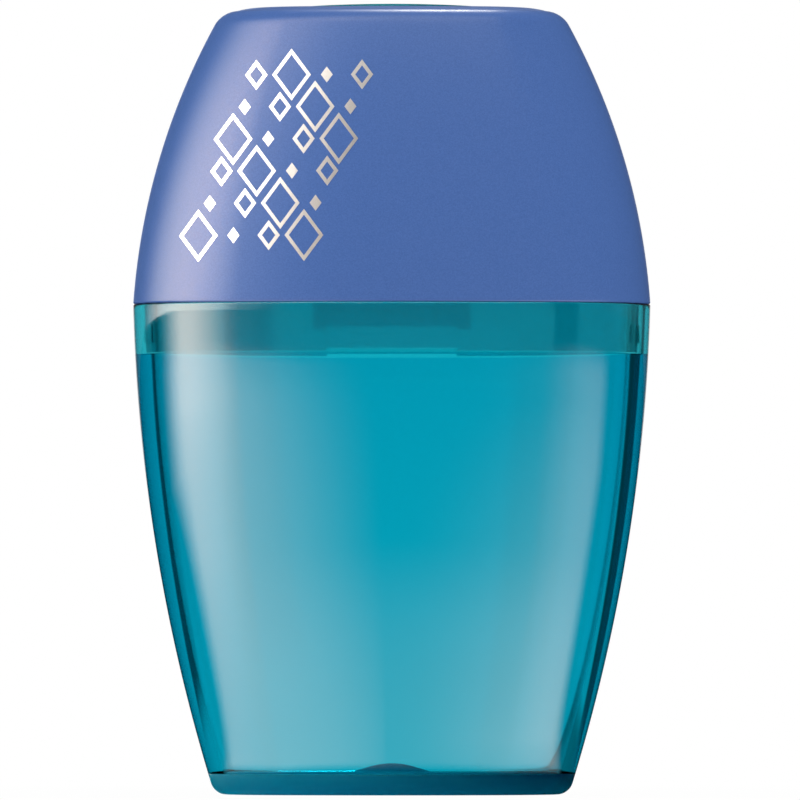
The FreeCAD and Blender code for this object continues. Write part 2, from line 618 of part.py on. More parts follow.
def make_sharpener_block():
    body = new_body("sharpener_block")
    half, back = "dims.block_width / 2", "(dims.block_depth / 2)"
    foot, ledge = "dims.block_foot", f"({BLOCK_TOP} - dims.collar_length)"
    outline = new_sketch(body, "side_outline", "YZ_Plane", f"-{half}")
    polygon(
        outline,
        [
            (FOOT_FACE, foot),
            (back, foot),
            (back, BLOCK_TOP),
            (f"-{back}", BLOCK_TOP),
            (f"-{back}", ledge),
            (blade_face(ledge), ledge),
        ],
    )
    doc.recompute()
    pad(body, outline, "wedge", "dims.block_width")
    bore = new_sketch(body, "bore_outline", "XZ_Plane")
    tip = f"({CONE_TOP} - (dims.bore_radius - dims.tip_radius) / {SLOPE})"
    above, below = f"({BLOCK_TOP} + dims.run_in)", f"({foot} - dims.run_in)"
    polygon(
        bore,
        [
            ("0", below),
            ("dims.tip_radius", below),
            ("dims.tip_radius", tip),
            ("dims.bore_radius", CONE_TOP),
            ("dims.bore_radius", above),
            ("0", above),
        ],
    )
    doc.recompute()
    turned(body, bore, "bore", "PartDesign::Groove")
    chip_throat(body, ledge)
    grip_grooves(body)
    tapped = tilted_sketch(body, "tapped_hole_outline", "90 + dims.cone_angle")
    circle(tapped, "-dims.screw_across", "dims.screw_along", "(dims.screw_radius + dims.thread_gap)")
    doc.recompute()
    cut_down(body, tapped, "tapped_hole", "dims.screw_reach + dims.blade_thickness")
    return body


def chip_throat(body, ledge):
    """The sloping cut beside the cutting edge, from the block's foot up to its collar."""
    sketch = tilted_sketch(body, "throat_outline", "dims.cone_angle", "-dims.run_in")
    edge, far = "dims.blade_overhang", "dims.block_width"
    drop = f"(({far} - {edge}) * tan(dims.throat_angle * 1 deg))"
    polygon(sketch, [(edge, "-dims.run_in"), (far, "-dims.run_in"), (far, drop), (edge, "0")])
    doc.recompute()
    throat = body.newObject("PartDesign::Pocket", "chip_throat")
    throat.Profile = sketch
    throat.Reversed = True
    slope_length = f"(({ledge} - dims.block_foot) / cos(dims.cone_angle * 1 deg))"
    throat.setExpression("Length", f"{slope_length} + dims.run_in")
    doc.recompute()


def grip_grooves(body):
    """V grooves across both sides of the block, repeated up its length."""
    sketch = new_sketch(body, "groove_outline", "XZ_Plane", "dims.block_depth")
    mouth = "(dims.block_width / 2 + dims.knurl_depth)"
    root = "(dims.block_width / 2 - dims.knurl_depth)"
    low = "(dims.knurl_start - dims.knurl_depth)"
    high = "(dims.knurl_start + dims.knurl_depth)"
    for side in ("", "-"):
        polygon(sketch, [(side + mouth, low), (side + mouth, high), (side + root, "dims.knurl_start")])
    doc.recompute()
    groove = cut_down(body, sketch, "grip_groove", "2 * dims.block_depth")
    pattern = body.newObject("PartDesign::LinearPattern", "grip_grooves")
    pattern.Originals = [groove]
    axis = next(a for a in body.Origin.OriginFeatures if a.Role == "Z_Axis")
    pattern.Direction = (axis, [""])
    pattern.Occurrences = KNURL_COUNT
    pattern.setExpression("Length", f"dims.knurl_pitch * {KNURL_COUNT - 1}")
    body.Tip = pattern
    doc.recompute()


# Blade and screw, drawn flat and then laid on the block's sloping face
def lay_on_face(body, across="0", along="0"):
    """Puts a body's origin on the blade face, with its Y up the slope and its Z out of the face."""
    lean = "dims.cone_angle * 1 deg"
    body.Placement = FreeCAD.Placement(
        FreeCAD.Vector(0, 0, 0), FreeCAD.Rotation(FreeCAD.Vector(1, 0, 0), 90 + number("dims.cone_angle"))
    )
    body.setExpression("Placement.Base.x", across)
    body.setExpression("Placement.Base.y", f"{FOOT_FACE} - {along} * sin({lean})")
    body.setExpression("Placement.Base.z", f"dims.block_foot + {along} * cos({lean})")
    body.setExpression("Placement.Rotation.Angle", f"90 deg + {lean}")
    doc.recompute()


def make_sharpener_blade():
    body = new_body("sharpener_blade")
    outline = new_sketch(body, "section", "XZ_Plane", "-(dims.blade_foot + dims.blade_length)")
    edge, thick = "dims.blade_overhang", "dims.blade_thickness"
    spine = "(dims.blade_overhang - dims.blade_width)"
    bevel = "(dims.blade_overhang - dims.bevel_width)"
    polygon(outline, [(spine, "0"), (edge, "0"), (edge, "dims.edge_land"), (bevel, thick), (spine, thick)])
    doc.recompute()
    pad(body, outline, "strip", "dims.blade_length")
    hole = new_sketch(body, "hole_outline", "XY_Plane", thick)
    circle(hole, "-dims.screw_across", "dims.screw_along", "(dims.screw_radius + dims.blade_hole_gap)")
    doc.recompute()
    cut_down(body, hole, "screw_hole", f"2 * {thick}")
    lay_on_face(body)
    return body


def make_blade_screw():
    body = new_body("blade_screw")
    outline = new_sketch(body, "half_section", "XZ_Plane")
    shank, head, seat = "dims.screw_radius", "dims.head_radius", "dims.blade_thickness"
    top = "(dims.blade_thickness + dims.head_rise)"
    point = "-dims.screw_reach"
    polygon(
        outline,
        [
            ("0", point),
            (f"({shank} - dims.head_round)", point),
            (shank, f"({point} + dims.head_round)"),
            (shank, seat),
            (head, seat),
            (head, f"({top} - dims.head_round)"),
            (f"({head} - dims.head_round)", top),
            ("0", top),
        ],
    )
    doc.recompute()
    turned(body, outline, "turning", "PartDesign::Revolution")
    slot = new_sketch(body, "slot_outline", "XY_Plane", top)
    rectangle(slot, f"-{head}", head, "-dims.slot_width / 2", "dims.slot_width / 2")
    doc.recompute()
    cut_down(body, slot, "slot", "dims.slot_depth")
    lay_on_face(body, "-dims.screw_across", "dims.screw_along")
    return body


def check_document():
    """Stops at anything that failed to build."""
    for item in doc.Objects:
        if "Invalid" in item.State or "Error" in item.State:
            raise RuntimeError(f"{item.Name} did not build: {item.getStatusString()}")


def main():
    parts = [
        make_receptacle(),
        make_cap_shell(),
        make_inner_frame(),
        make_sharpener_block(),
        make_sharpener_blade(),
        make_blade_screw(),
    ]
    doc.recompute()
    check_document()
    for part in parts:
        if part.Shape.isNull() or not part.Shape.isValid() or len(part.Shape.Solids) != 1:
            raise RuntimeError(f"{part.Label} is not one valid solid")
    os.makedirs("parts", exist_ok=True)
    for part in parts:
        part.Shape.exportStep(f"parts/{part.Label}.step")
        print(f"{part.Label}: {part.Shape.Volume:.1f} mm3")


main()
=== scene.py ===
# %% [markdown]
# # A canister pencil sharpener
#
# The object is a small oval canister: a pearl blue cap sits on a clear turquoise receptacle for the
# shavings, and a clear frame between them carries a metal wedge sharpener. The sizes and the moving
# parts are settled in the CAD model, so this lesson only gives every piece its looks. We start by
# loading that model as a fixed frame.

# %% Load the frame
import math

import bmesh
import bpy
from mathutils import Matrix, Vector


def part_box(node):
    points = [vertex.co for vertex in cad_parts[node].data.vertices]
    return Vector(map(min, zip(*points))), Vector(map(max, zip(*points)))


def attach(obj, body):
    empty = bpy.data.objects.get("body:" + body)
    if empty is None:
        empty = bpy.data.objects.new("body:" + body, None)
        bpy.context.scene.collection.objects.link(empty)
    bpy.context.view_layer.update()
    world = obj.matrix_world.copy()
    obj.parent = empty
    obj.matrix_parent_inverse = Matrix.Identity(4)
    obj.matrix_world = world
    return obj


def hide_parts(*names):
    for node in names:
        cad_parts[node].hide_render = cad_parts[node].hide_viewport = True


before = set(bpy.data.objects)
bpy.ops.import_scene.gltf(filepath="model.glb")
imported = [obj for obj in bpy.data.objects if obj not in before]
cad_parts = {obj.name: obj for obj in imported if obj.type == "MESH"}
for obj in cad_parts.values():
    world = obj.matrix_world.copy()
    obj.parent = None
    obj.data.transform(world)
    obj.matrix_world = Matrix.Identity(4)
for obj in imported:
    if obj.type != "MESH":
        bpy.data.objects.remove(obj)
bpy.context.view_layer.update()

MM = 0.001
print("nodes:", ", ".join(sorted(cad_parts)))

# %% [markdown]
# ## Camera
#
# The photograph is a product shot from far away with a long lens, so the sides show almost no
# perspective. The object stands a touch left of the middle of the picture, and the eye is low, at
# about a quarter of the object's height. A camera that looks slightly up from there gives the same
# outline. The picture is square, and one pixel is a tenth of a millimetre on the object.

# %% Place the camera
PIXELS = 800
PIXEL_SIZE = 0.1 * MM
CAMERA_DISTANCE = 1.7
EYE_HEIGHT = 19.4 * MM
AIM_HEIGHT = 39.42 * MM
AIM_ACROSS = 0.82 * MM
SENSOR_WIDTH = 36
VIEW_END = 20

lens = bpy.data.cameras.new("photo_camera")
camera = bpy.data.objects.new("photo_camera", lens)
bpy.context.collection.objects.link(camera)
camera.location = (AIM_ACROSS, -CAMERA_DISTANCE, EYE_HEIGHT)
aim = Vector((AIM_ACROSS, 0, AIM_HEIGHT)) - camera.location
camera.rotation_euler = aim.to_track_quat("-Z", "Y").to_euler()
lens.sensor_width = SENSOR_WIDTH
lens.lens = SENSOR_WIDTH * aim.length / (PIXELS * PIXEL_SIZE)
lens.clip_end = VIEW_END
bpy.context.scene.camera = camera
print(f"lens {lens.lens:.0f} mm, view {PIXELS * PIXEL_SIZE / MM:.0f} mm wide")

# %% [markdown]
# ## Small helpers for node trees
#
# Geometry Nodes and shaders are both trees of nodes, and building them in a script repeats the same
# three moves: add a node, set its options, feed its inputs. These helpers do that for both kinds. The
# last one runs a Geometry Nodes tree and keeps what it makes as a plain mesh.


# %% Node helpers
def feed(tree, socket, value):
    """Links a socket to another one, or sets its value."""
    if isinstance(value, bpy.types.NodeSocket):
        tree.links.new(value, socket)
    else:
        socket.default_value = value


def add_node(tree, kind, feeds=None, **options):
    """Adds a node, sets its options, and feeds its inputs by name or number."""
    made = tree.nodes.new(kind)
    for option, value in options.items():
        setattr(made, option, value)
    for name, value in (feeds or {}).items():
        feed(tree, made.inputs[name], value)
    return made


def calc(tree, operation, *values):
    """One Math node; gives its result."""
    made = add_node(tree, "ShaderNodeMath", operation=operation)
    for socket, value in zip(made.inputs, values):
        feed(tree, socket, value)
    return made.outputs[0]


def new_tree(name, kind, inputs, outputs):
    """A node group with named sockets; gives the tree and its input sockets."""
    tree = bpy.data.node_groups.new(name, kind)
    for way, sockets in (("INPUT", inputs), ("OUTPUT", outputs)):
        for label, socket_type in sockets:
            tree.interface.new_socket(label, in_out=way, socket_type="NodeSocket" + socket_type)
    return tree, tree.nodes.new("NodeGroupInput").outputs


def grow(name, seed, tree, values):
    """Runs a tree on a seed mesh and keeps the result as a plain mesh object with outward faces."""
    host = bpy.data.objects.new(name + "_seed", seed)
    bpy.context.collection.objects.link(host)
    modifier = host.modifiers.new("grow", "NODES")
    modifier.node_group = tree
    for item in tree.interface.items_tree:
        if item.in_out == "INPUT" and item.name in values:
            modifier[item.identifier] = values[item.name]
    bpy.context.view_layer.update()
    seen = host.evaluated_get(bpy.context.evaluated_depsgraph_get())
    mesh = bpy.data.meshes.new_from_object(seen)
    bpy.data.objects.remove(host)
    mesh.name = name
    work = bmesh.new()
    work.from_mesh(mesh)
    bmesh.ops.recalc_face_normals(work, faces=work.faces)
    work.to_mesh(mesh)
    work.free()
    piece = bpy.data.objects.new(name, mesh)
    bpy.context.collection.objects.link(piece)
    print(f"{name}: {len(mesh.polygons)} faces, {[round(side / MM, 2) for side in piece.dimensions]} mm")
    return piece


# %% [markdown]
# ## Shells made of oval rings
#
# Every level of the cap and of the receptacle is the same kind of oval: two round ends and two flatter
# sides, four arcs that meet without a kink. A subdivision cage could come close to it, but the rule is
# exact, so a Geometry Nodes tree follows it. A ring needs four numbers: how far out the centres of its
# end arcs lie, how far back the centres of its side arcs lie, the radius of its ends, and its height. A
# circle is the same ring with both distances at zero, so one tree also makes round domes and dimples.
# The script writes a list of rings, and the tree stretches a skin over them.

# %% The ring tree
WELD = 0.001 * MM


def grid_place(tree, rows):
    """The row and the column of each point of a grid; half a step keeps the rounding down safe."""
    index = tree.nodes.new("GeometryNodeInputIndex").outputs[0]
    row = calc(tree, "MODULO", index, rows)
    return row, calc(tree, "FLOOR", calc(tree, "DIVIDE", calc(tree, "ADD", index, 0.5), rows))


def end_tree(tree, shape, finish):
    """Ends a tree: welds the shape, makes it real and gives it its material."""
    closed = add_node(tree, "GeometryNodeMergeByDistance", {0: shape, "Distance": WELD}).outputs[0]
    real = add_node(tree, "GeometryNodeRealizeInstances", {0: closed}).outputs[0]
    dressed = add_node(tree, "GeometryNodeSetMaterial", {0: real, "Material": finish})
    add_node(tree, "NodeGroupOutput", {0: dressed.outputs[0]})


def build_ring_tree():
    inputs = (("Rings", "Geometry"), ("Around", "Int"), ("Crowding", "Float"), ("Finish", "Material"))
    tree, given = new_tree("oval_rings", "GeometryNodeTree", inputs, [("Shell", "Geometry")])
    rings, around = given["Rings"], given["Around"]
    size = add_node(tree, "GeometryNodeAttributeDomainSize", {"Geometry": rings}, component="MESH")
    count = size.outputs["Point Count"]
    columns = calc(tree, "ADD", around, 1)
    skin = add_node(tree, "GeometryNodeMeshGrid", {"Vertices X": columns, "Vertices Y": count})
    ring_number, column = grid_place(tree, count)

    def on_ring(value, data_type):
        feeds = {"Geometry": rings, "Index": ring_number}
        sample = add_node(tree, "GeometryNodeSampleIndex", feeds, data_type=data_type)
        feed(tree, sample.inputs["Value"], value)
        return sample.outputs[0]

    def either(test, when_true, when_false):
        feeds = {"Switch": test, "True": when_true, "False": when_false}
        return add_node(tree, "GeometryNodeSwitch", feeds, input_type="FLOAT").outputs[0]

    shape = on_ring(tree.nodes.new("GeometryNodeInputPosition").outputs[0], "FLOAT_VECTOR")
    end_centre, side_centre, end_radius = add_node(tree, "ShaderNodeSeparateXYZ", {0: shape}).outputs
    named = add_node(tree, "GeometryNodeInputNamedAttribute", {"Name": "ring_height"}, data_type="FLOAT")
    height = on_ring(named.outputs[0], "FLOAT")

    turn = calc(tree, "MULTIPLY", calc(tree, "DIVIDE", column, around), 2 * math.pi)
    swing = calc(tree, "MULTIPLY", calc(tree, "SINE", calc(tree, "MULTIPLY", turn, 2)), given["Crowding"])
    facing = calc(tree, "ADD", turn, swing)
    cosine, sine = calc(tree, "COSINE", facing), calc(tree, "SINE", facing)
    compare = add_node(tree, "FunctionNodeCompare", data_type="FLOAT", operation="LESS_THAN")
    feed(tree, compare.inputs["A"], calc(tree, "MULTIPLY", calc(tree, "ABSOLUTE", sine), end_centre))
    feed(tree, compare.inputs["B"], calc(tree, "MULTIPLY", calc(tree, "ABSOLUTE", cosine), side_centre))
    on_end = compare.outputs[0]

    squares = calc(tree, "ADD", calc(tree, "POWER", end_centre, 2), calc(tree, "POWER", side_centre, 2))
    radius = either(on_end, end_radius, calc(tree, "ADD", end_radius, calc(tree, "SQRT", squares)))
    centre_x = either(on_end, calc(tree, "MULTIPLY", calc(tree, "SIGN", cosine), end_centre), 0.0)
    behind = calc(tree, "MULTIPLY", calc(tree, "SIGN", sine), side_centre)
    centre_y = either(on_end, 0.0, calc(tree, "MULTIPLY", behind, -1))
    spot = add_node(tree, "ShaderNodeCombineXYZ", {2: height})
    feed(tree, spot.inputs[0], calc(tree, "ADD", centre_x, calc(tree, "MULTIPLY", radius, cosine)))
    feed(tree, spot.inputs[1], calc(tree, "ADD", centre_y, calc(tree, "MULTIPLY", radius, sine)))

    placed = add_node(tree, "GeometryNodeSetPosition", {0: skin.outputs[0], "Position": spot.outputs[0]})
    smoothed = add_node(tree, "GeometryNodeSetShadeSmooth", {0: placed.outputs[0]})
    end_tree(tree, smoothed.outputs[0], given["Finish"])
    return tree


ring_tree = build_ring_tree()
AROUND = 320
CROWDING = 0.36


def ring_shell(name, rings, finish):
    """A shell through a list of rings, each (end centre, side centre, end radius, height)."""
    seed = bpy.data.meshes.new(name + "_rings")
    seed.from_pydata([ring[:3] for ring in rings], [], [])
    heights = seed.attributes.new("ring_height", "FLOAT", "POINT")
    heights.data.foreach_set("value", [ring[3] for ring in rings])
    return grow(name, seed, ring_tree, {"Around": AROUND, "Crowding": CROWDING, "Finish": finish})


print("ring tree:", len(ring_tree.nodes), "nodes")

# %% [markdown]
# ## The rule of the outline
#
# Seen from the front, the receptacle's sides are one long arc and the cap's sides are a tighter one. Both
# pass through the joint line, which is the widest place. A ring on the wall is the outline's oval at its
# height, drawn in by an inset. The two overall sizes come from the frame. The arcs, each a radius and the
# height of its centre, the ratio of depth to width and the roundings are the object's own, as its maker
# would write them.


# %% Outline and roundings
def side_arc_radius(half_depth, end_centre, end_radius):
    """The radius at which the side arcs of an oval meet its end arcs without a kink."""
    return (half_depth**2 + end_centre**2 - end_radius**2) / (2 * (half_depth - end_radius))


JOINT_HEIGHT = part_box("receptacle")[1].z
HALF_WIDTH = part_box("receptacle")[1].x
CAP_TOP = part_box("cap_shell")[1].z
DEPTH_RATIO = 0.63
END_RATIO = 0.57
SIDE_CENTRE_RATIO = side_arc_radius(DEPTH_RATIO, 1 - END_RATIO, END_RATIO) - DEPTH_RATIO
RECEPTACLE_ARC = (179.6 * MM, 53.65 * MM)
CAP_ARC = (68.15 * MM, 44.28 * MM)
ROUND_STEPS = 8
SIDE_STEPS = 72


def wall_ring(arc, inset, height):
    """The ring of the outline at a height, drawn in by an inset."""
    radius, centre = arc
    at_joint = math.sqrt(radius**2 - (JOINT_HEIGHT - centre) ** 2)
    half_width = HALF_WIDTH - at_joint + math.sqrt(radius**2 - (height - centre) ** 2)
    end_radius = half_width * END_RATIO - inset
    return half_width * (1 - END_RATIO), half_width * SIDE_CENTRE_RATIO, end_radius, height


def round_ring(radius, height):
    return 0.0, 0.0, radius, height


def straight(start, stop, steps=SIDE_STEPS):
    """Pairs of inset and height along a straight run, ends included."""
    shares = [step / steps for step in range(steps + 1)]
    return [tuple(a + (b - a) * share for a, b in zip(start, stop)) for share in shares]


def rounding(centre, radius, first, last, steps=ROUND_STEPS):
    """Pairs of inset and height round a corner; at 0 degrees the arc is innermost, at 90 topmost."""
    angles = [math.radians(first + (last - first) * step / steps) for step in range(steps + 1)]
    return [(centre[0] + radius * math.cos(a), centre[1] + radius * math.sin(a)) for a in angles]


def bump_rings(base, radius, rise, steps=12):
    """Rings of a shallow spherical bump, from its rim to its middle."""
    ball = (radius**2 + rise**2) / (2 * rise)
    widest = math.asin(radius / ball)
    angles = [widest * (1 - step / steps) for step in range(steps + 1)]
    return [round_ring(ball * math.sin(a), base + rise - ball * (1 - math.cos(a))) for a in angles]


print(f"joint line at {JOINT_HEIGHT / MM:.1f} mm, half width {HALF_WIDTH / MM:.2f} mm")

# %% [markdown]
# ## What moulding leaves
#
# A moulded surface is never quite flat or evenly polished. All the plastics here need that, so it is a
# group of shader nodes, built once: a slow noise gives a faint waviness for a bump, and a finer one gives
# patches that are a little less polished. A material places the group with its own values.

# %% The moulded skin
WAVE_DETAIL, SCUFF_DETAIL = 2.0, 4.0
SCUFFS_PER_WAVE = 9.0
SCUFF_LOW, SCUFF_HIGH = 0.35, 0.7


def ramp(tree, value, start, stop):
    """A straight slope between two points, each a pair of value and result, and level beyond them."""
    (low, first), (high, last) = start, stop
    feeds = {"Value": value, "From Min": low, "From Max": high, "To Min": first, "To Max": last}
    return add_node(tree, "ShaderNodeMapRange", feeds).outputs[0]


def add_noise(tree, place, scale, detail):
    feeds = {"Vector": place, "Scale": scale, "Detail": detail}
    return add_node(tree, "ShaderNodeTexNoise", feeds).outputs[0]


def build_moulded_skin():
    """Patchy roughness and a faint waviness, for every moulded surface."""
    inputs = (("Place", "Vector"), ("Wave Size", "Float"), ("Smoothest", "Float"), ("Dullest", "Float"))
    outputs = (("Roughness", "Float"), ("Height", "Float"))
    tree, given = new_tree("moulded_skin", "ShaderNodeTree", inputs, outputs)
    per_metre = calc(tree, "DIVIDE", 1.0, given["Wave Size"])
    waves = add_noise(tree, given["Place"], per_metre, WAVE_DETAIL)
    fine = calc(tree, "MULTIPLY", per_metre, SCUFFS_PER_WAVE)
    scuffs = add_noise(tree, given["Place"], fine, SCUFF_DETAIL)
    roughness = ramp(tree, scuffs, (SCUFF_LOW, given["Smoothest"]), (SCUFF_HIGH, given["Dullest"]))
    add_node(tree, "NodeGroupOutput", {"Roughness": roughness, "Height": waves})
    return tree


moulded_skin = build_moulded_skin()


def surface_from(tree, shader, effect, strength, depth):
    """Feeds a shader's roughness and its normal from the outputs of a placed group."""
    feed(tree, shader.inputs["Roughness"], effect["Roughness"])
    feeds = {"Strength": strength, "Distance": depth, "Height": effect["Height"]}
    bump = add_node(tree, "ShaderNodeBump", feeds)
    feed(tree, shader.inputs["Normal"], bump.outputs[0])


def moulded(tree, shader, place, wave_size, wave_height, polish):
    """Places the moulded skin and gives its roughness; a polish is the smoothest and the dullest."""
    smoothest, dullest = polish
    feeds = {"Place": place, "Wave Size": wave_size, "Smoothest": smoothest, "Dullest": dullest}
    skin = add_node(tree, "ShaderNodeGroup", feeds, node_tree=moulded_skin).outputs
    surface_from(tree, shader, skin, 1.0, wave_height)
    return skin["Roughness"]


print("moulded skin:", len(moulded_skin.nodes), "nodes")

# %% [markdown]
# ## Clear turquoise plastic
#
# The receptacle and the frame are moulded in a clear styrene dyed turquoise. A tinted glass shader would
# colour every wall alike, whatever its thickness. Real dye takes light away along the path, which is why
# the edges and the floor look deep and the thin walls look pale. So the receptacle's surface is colourless
# and its colour is a Volume Absorption inside. The frame is seen through the receptacle's walls, and with
# the full dye it would look too dark there. It has half the dye and a slight body colour instead, and the
# top of its boss, above the cap, is matt.

# %% Clear plastic
WHITE = (1, 1, 1, 1)
STYRENE_IOR = 1.57
PLASTIC_WAVE = 6 * MM
WAVE_HEIGHT = 0.004 * MM
MATT_ROUGHNESS = 0.85


def blank_tree(owner):
    """An empty node tree for a material or a world."""
    owner.use_nodes = True
    owner.node_tree.nodes.clear()
    return owner.node_tree


def new_material(name):
    """A material with its Principled shader and Object coordinates."""
    material = bpy.data.materials.new(name)
    tree = blank_tree(material)
    shader = tree.nodes.new("ShaderNodeBsdfPrincipled")
    add_node(tree, "ShaderNodeOutputMaterial", {"Surface": shader.outputs[0]})
    place = tree.nodes.new("ShaderNodeTexCoord").outputs["Object"]
    return material, tree, shader, place


def dyed_plastic(name, dye_colour, density, polish, own=None, matt_above=None):
    """Styrene round a dye: clear and colourless on its surface, unless it has values of its own."""
    material, tree, shader, place = new_material(name)
    values = {"Base Color": WHITE, "Transmission Weight": 1.0, "IOR": STYRENE_IOR}
    values.update(own or {})
    for socket, value in values.items():
        feed(tree, shader.inputs[socket], value)
    roughness = moulded(tree, shader, place, PLASTIC_WAVE, WAVE_HEIGHT, polish)
    if matt_above:
        height = add_node(tree, "ShaderNodeSeparateXYZ", {0: place}).outputs[2]
        matt = calc(tree, "MULTIPLY", calc(tree, "GREATER_THAN", height, matt_above), MATT_ROUGHNESS)
        feed(tree, shader.inputs["Roughness"], calc(tree, "MAXIMUM", roughness, matt))
    dye = add_node(tree, "ShaderNodeVolumeAbsorption", {"Color": dye_colour, "Density": density})
    feed(tree, tree.get_output_node("ALL").inputs["Volume"], dye.outputs[0])
    return material


DYE_COLOUR = (0.0, 0.884, 0.934, 1)
DYE_DENSITY = 1850.0
THIN_DENSITY = 0.5 * DYE_DENSITY
POLISHED = (0.015, 0.045)
FRAME_DYE = (0.0, 0.884, 0.917, 1)
FRAME_POLISH = (0.05, 0.10)
FRAME_BODY = {"Base Color": (0.01, 0.80, 0.87, 1), "Transmission Weight": 0.9}
BOSS_MATT = 77.3 * MM

receptacle_plastic = dyed_plastic("clear_receptacle_plastic", DYE_COLOUR, DYE_DENSITY, POLISHED)
frame_plastic = dyed_plastic(
    "clear_frame_plastic", FRAME_DYE, THIN_DENSITY, FRAME_POLISH, FRAME_BODY, BOSS_MATT
)
print("clear plastic: dye of density", DYE_DENSITY, "per metre")

# %% [markdown]
# ## The receptacle
#
# The bin is one moulding with two finishes: the wall is polished and the base is etched. Each finish gets
# a closed piece of its own, and the two meet at the level of the floor with a hair's gap, so that no faces
# lie on each other. The wall grows a little thicker upwards, and near the rim a rabbet leaves only a thin
# lip round the frame's skirt. Its rings run in a loop: up the outside, over the lip, down the inside and
# back to the foot. A dome on the floor shows where the plastic was shot in, with a dimple under it. The
# base's rings run from the dimple out under the base, round its edge and in over the floor to the dome.
# Outer corners have a small rounding, because light catches on those, and the rabbet is crisp, so that the
# gap above it shows as one thin bright line. Etched plastic scatters light and hardly mirrors it, so the
# base has a rough surface without highlights, and half the dye.

# %% Make the receptacle
WALL, WALL_GAIN = 1.5 * MM, 0.45 * MM
LIP, LIP_REACH = 0.7 * MM, 5.0 * MM
FLOOR = 2.06 * MM
BASE_ROUND = 1.1 * MM
FOOT_ROUND = 0.2 * MM
SEAM_ROUND = 0.2 * MM
RIM_ROUND = 0.15 * MM
DOME_RADIUS, DOME_RISE = 4.1 * MM, 1.2 * MM
DIMPLE_RADIUS, DIMPLE_DEPTH = 3.2 * MM, 1.2 * MM
EASE = 0.25 * MM
CRISP = 0.01 * MM
ETCHED = (0.8, 0.9)
NO_HIGHLIGHTS = {"Specular Tint": (0, 0, 0, 1)}


def wall_inset(height):
    """Thickness of the wall, which grows evenly from the foot to the joint line."""
    return WALL + WALL_GAIN * height / JOINT_HEIGHT


def receptacle_rings():
    foot = FLOOR + CRISP
    outer = [(CRISP, foot), (0, foot)]
    outer += straight((0, foot + CRISP), (0, JOINT_HEIGHT - SEAM_ROUND))[:-1]
    outer += rounding((SEAM_ROUND, JOINT_HEIGHT - SEAM_ROUND), SEAM_ROUND, 180, 90)
    lip_corner = (LIP - RIM_ROUND, JOINT_HEIGHT - RIM_ROUND)
    outer += straight((SEAM_ROUND, JOINT_HEIGHT), (lip_corner[0], JOINT_HEIGHT), 4)[1:-1]
    inner = rounding(lip_corner, RIM_ROUND, 90, 0)
    ledge = JOINT_HEIGHT - LIP_REACH
    ledge_inset = wall_inset(ledge)
    inner += straight((LIP, lip_corner[1]), (LIP, ledge + CRISP), 12)[1:]
    inner += [(LIP, ledge), (LIP + CRISP, ledge)]
    inner += [(ledge_inset - CRISP, ledge), (ledge_inset, ledge)]
    corner_top = foot + FOOT_ROUND
    foot_inset = wall_inset(corner_top)
    inner += straight((ledge_inset, ledge - CRISP), (foot_inset, corner_top))[:-1]
    inner += rounding((foot_inset + FOOT_ROUND, corner_top), FOOT_ROUND, 180, 270)
    inner += [(foot_inset + FOOT_ROUND - CRISP, foot)]
    rings = [wall_ring(RECEPTACLE_ARC, inset, height) for inset, height in outer + inner]
    return rings + rings[:1]


def base_rings():
    outer = [(BASE_ROUND + EASE, 0)] + rounding((BASE_ROUND, BASE_ROUND), BASE_ROUND, -90, -180)
    outer += straight((0, BASE_ROUND), (0, FLOOR - CRISP), 8)[1:]
    outer += [(0, FLOOR), (CRISP, FLOOR)]
    dimple = bump_rings(0, DIMPLE_RADIUS, DIMPLE_DEPTH)[::-1] + [round_ring(DIMPLE_RADIUS + EASE, 0)]
    wall = [wall_ring(RECEPTACLE_ARC, inset, height) for inset, height in outer]
    dome = [round_ring(DOME_RADIUS + EASE, FLOOR)] + bump_rings(FLOOR, DOME_RADIUS, DOME_RISE)
    return dimple + wall + dome


receptacle_shell = ring_shell("receptacle_shell", receptacle_rings(), receptacle_plastic)
etched_plastic = dyed_plastic("etched_base_plastic", DYE_COLOUR, THIN_DENSITY, ETCHED, NO_HIGHLIGHTS)
receptacle_base = ring_shell("receptacle_base", base_rings(), etched_plastic)

# %% [markdown]
# ## Pearl blue cap
#
# The cap is opaque plastic with a pearl pigment: a satin blue whose highlights turn lavender. Close up
# the pigment is a fine glitter of tiny plates, each a little lighter or darker than the next. A cell
# texture at their size gives that grain, and a soft broad gloss gives the satin.

# %% Pearl plastic
PEARL_FLAKE = 0.09 * MM
PEARL_DARK, PEARL_LIGHT = (0.061, 0.155, 0.47, 1), (0.080, 0.187, 0.535, 1)
PEARL_GLOSS = 0.6
PEARL_SHEEN = (1.0, 0.89, 0.58, 1)
PEARL_WAVE = 4 * MM
PEARL_SATIN = (0.28, 0.34)


def tint(tree, share, first, second):
    """Goes from the first colour to the second by a share of 0 to 1."""
    feeds = {0: share, 6: first, 7: second}
    return add_node(tree, "ShaderNodeMix", feeds, data_type="RGBA").outputs[2]


def build_pearl_flakes():
    """Tiny plates of pigment, each with its own shade."""
    inputs = (("Place", "Vector"), ("Flake Size", "Float"), ("Dark", "Color"), ("Light", "Color"))
    tree, given = new_tree("pearl_flakes", "ShaderNodeTree", inputs, [("Color", "Color")])
    per_metre = calc(tree, "DIVIDE", 1.0, given["Flake Size"])
    cells = add_node(tree, "ShaderNodeTexVoronoi", {"Vector": given["Place"], "Scale": per_metre})
    shade = add_node(tree, "ShaderNodeSeparateColor", {0: cells.outputs["Color"]}).outputs[0]
    add_node(tree, "NodeGroupOutput", {0: tint(tree, shade, given["Dark"], given["Light"])})
    return tree


pearl_flakes = build_pearl_flakes()


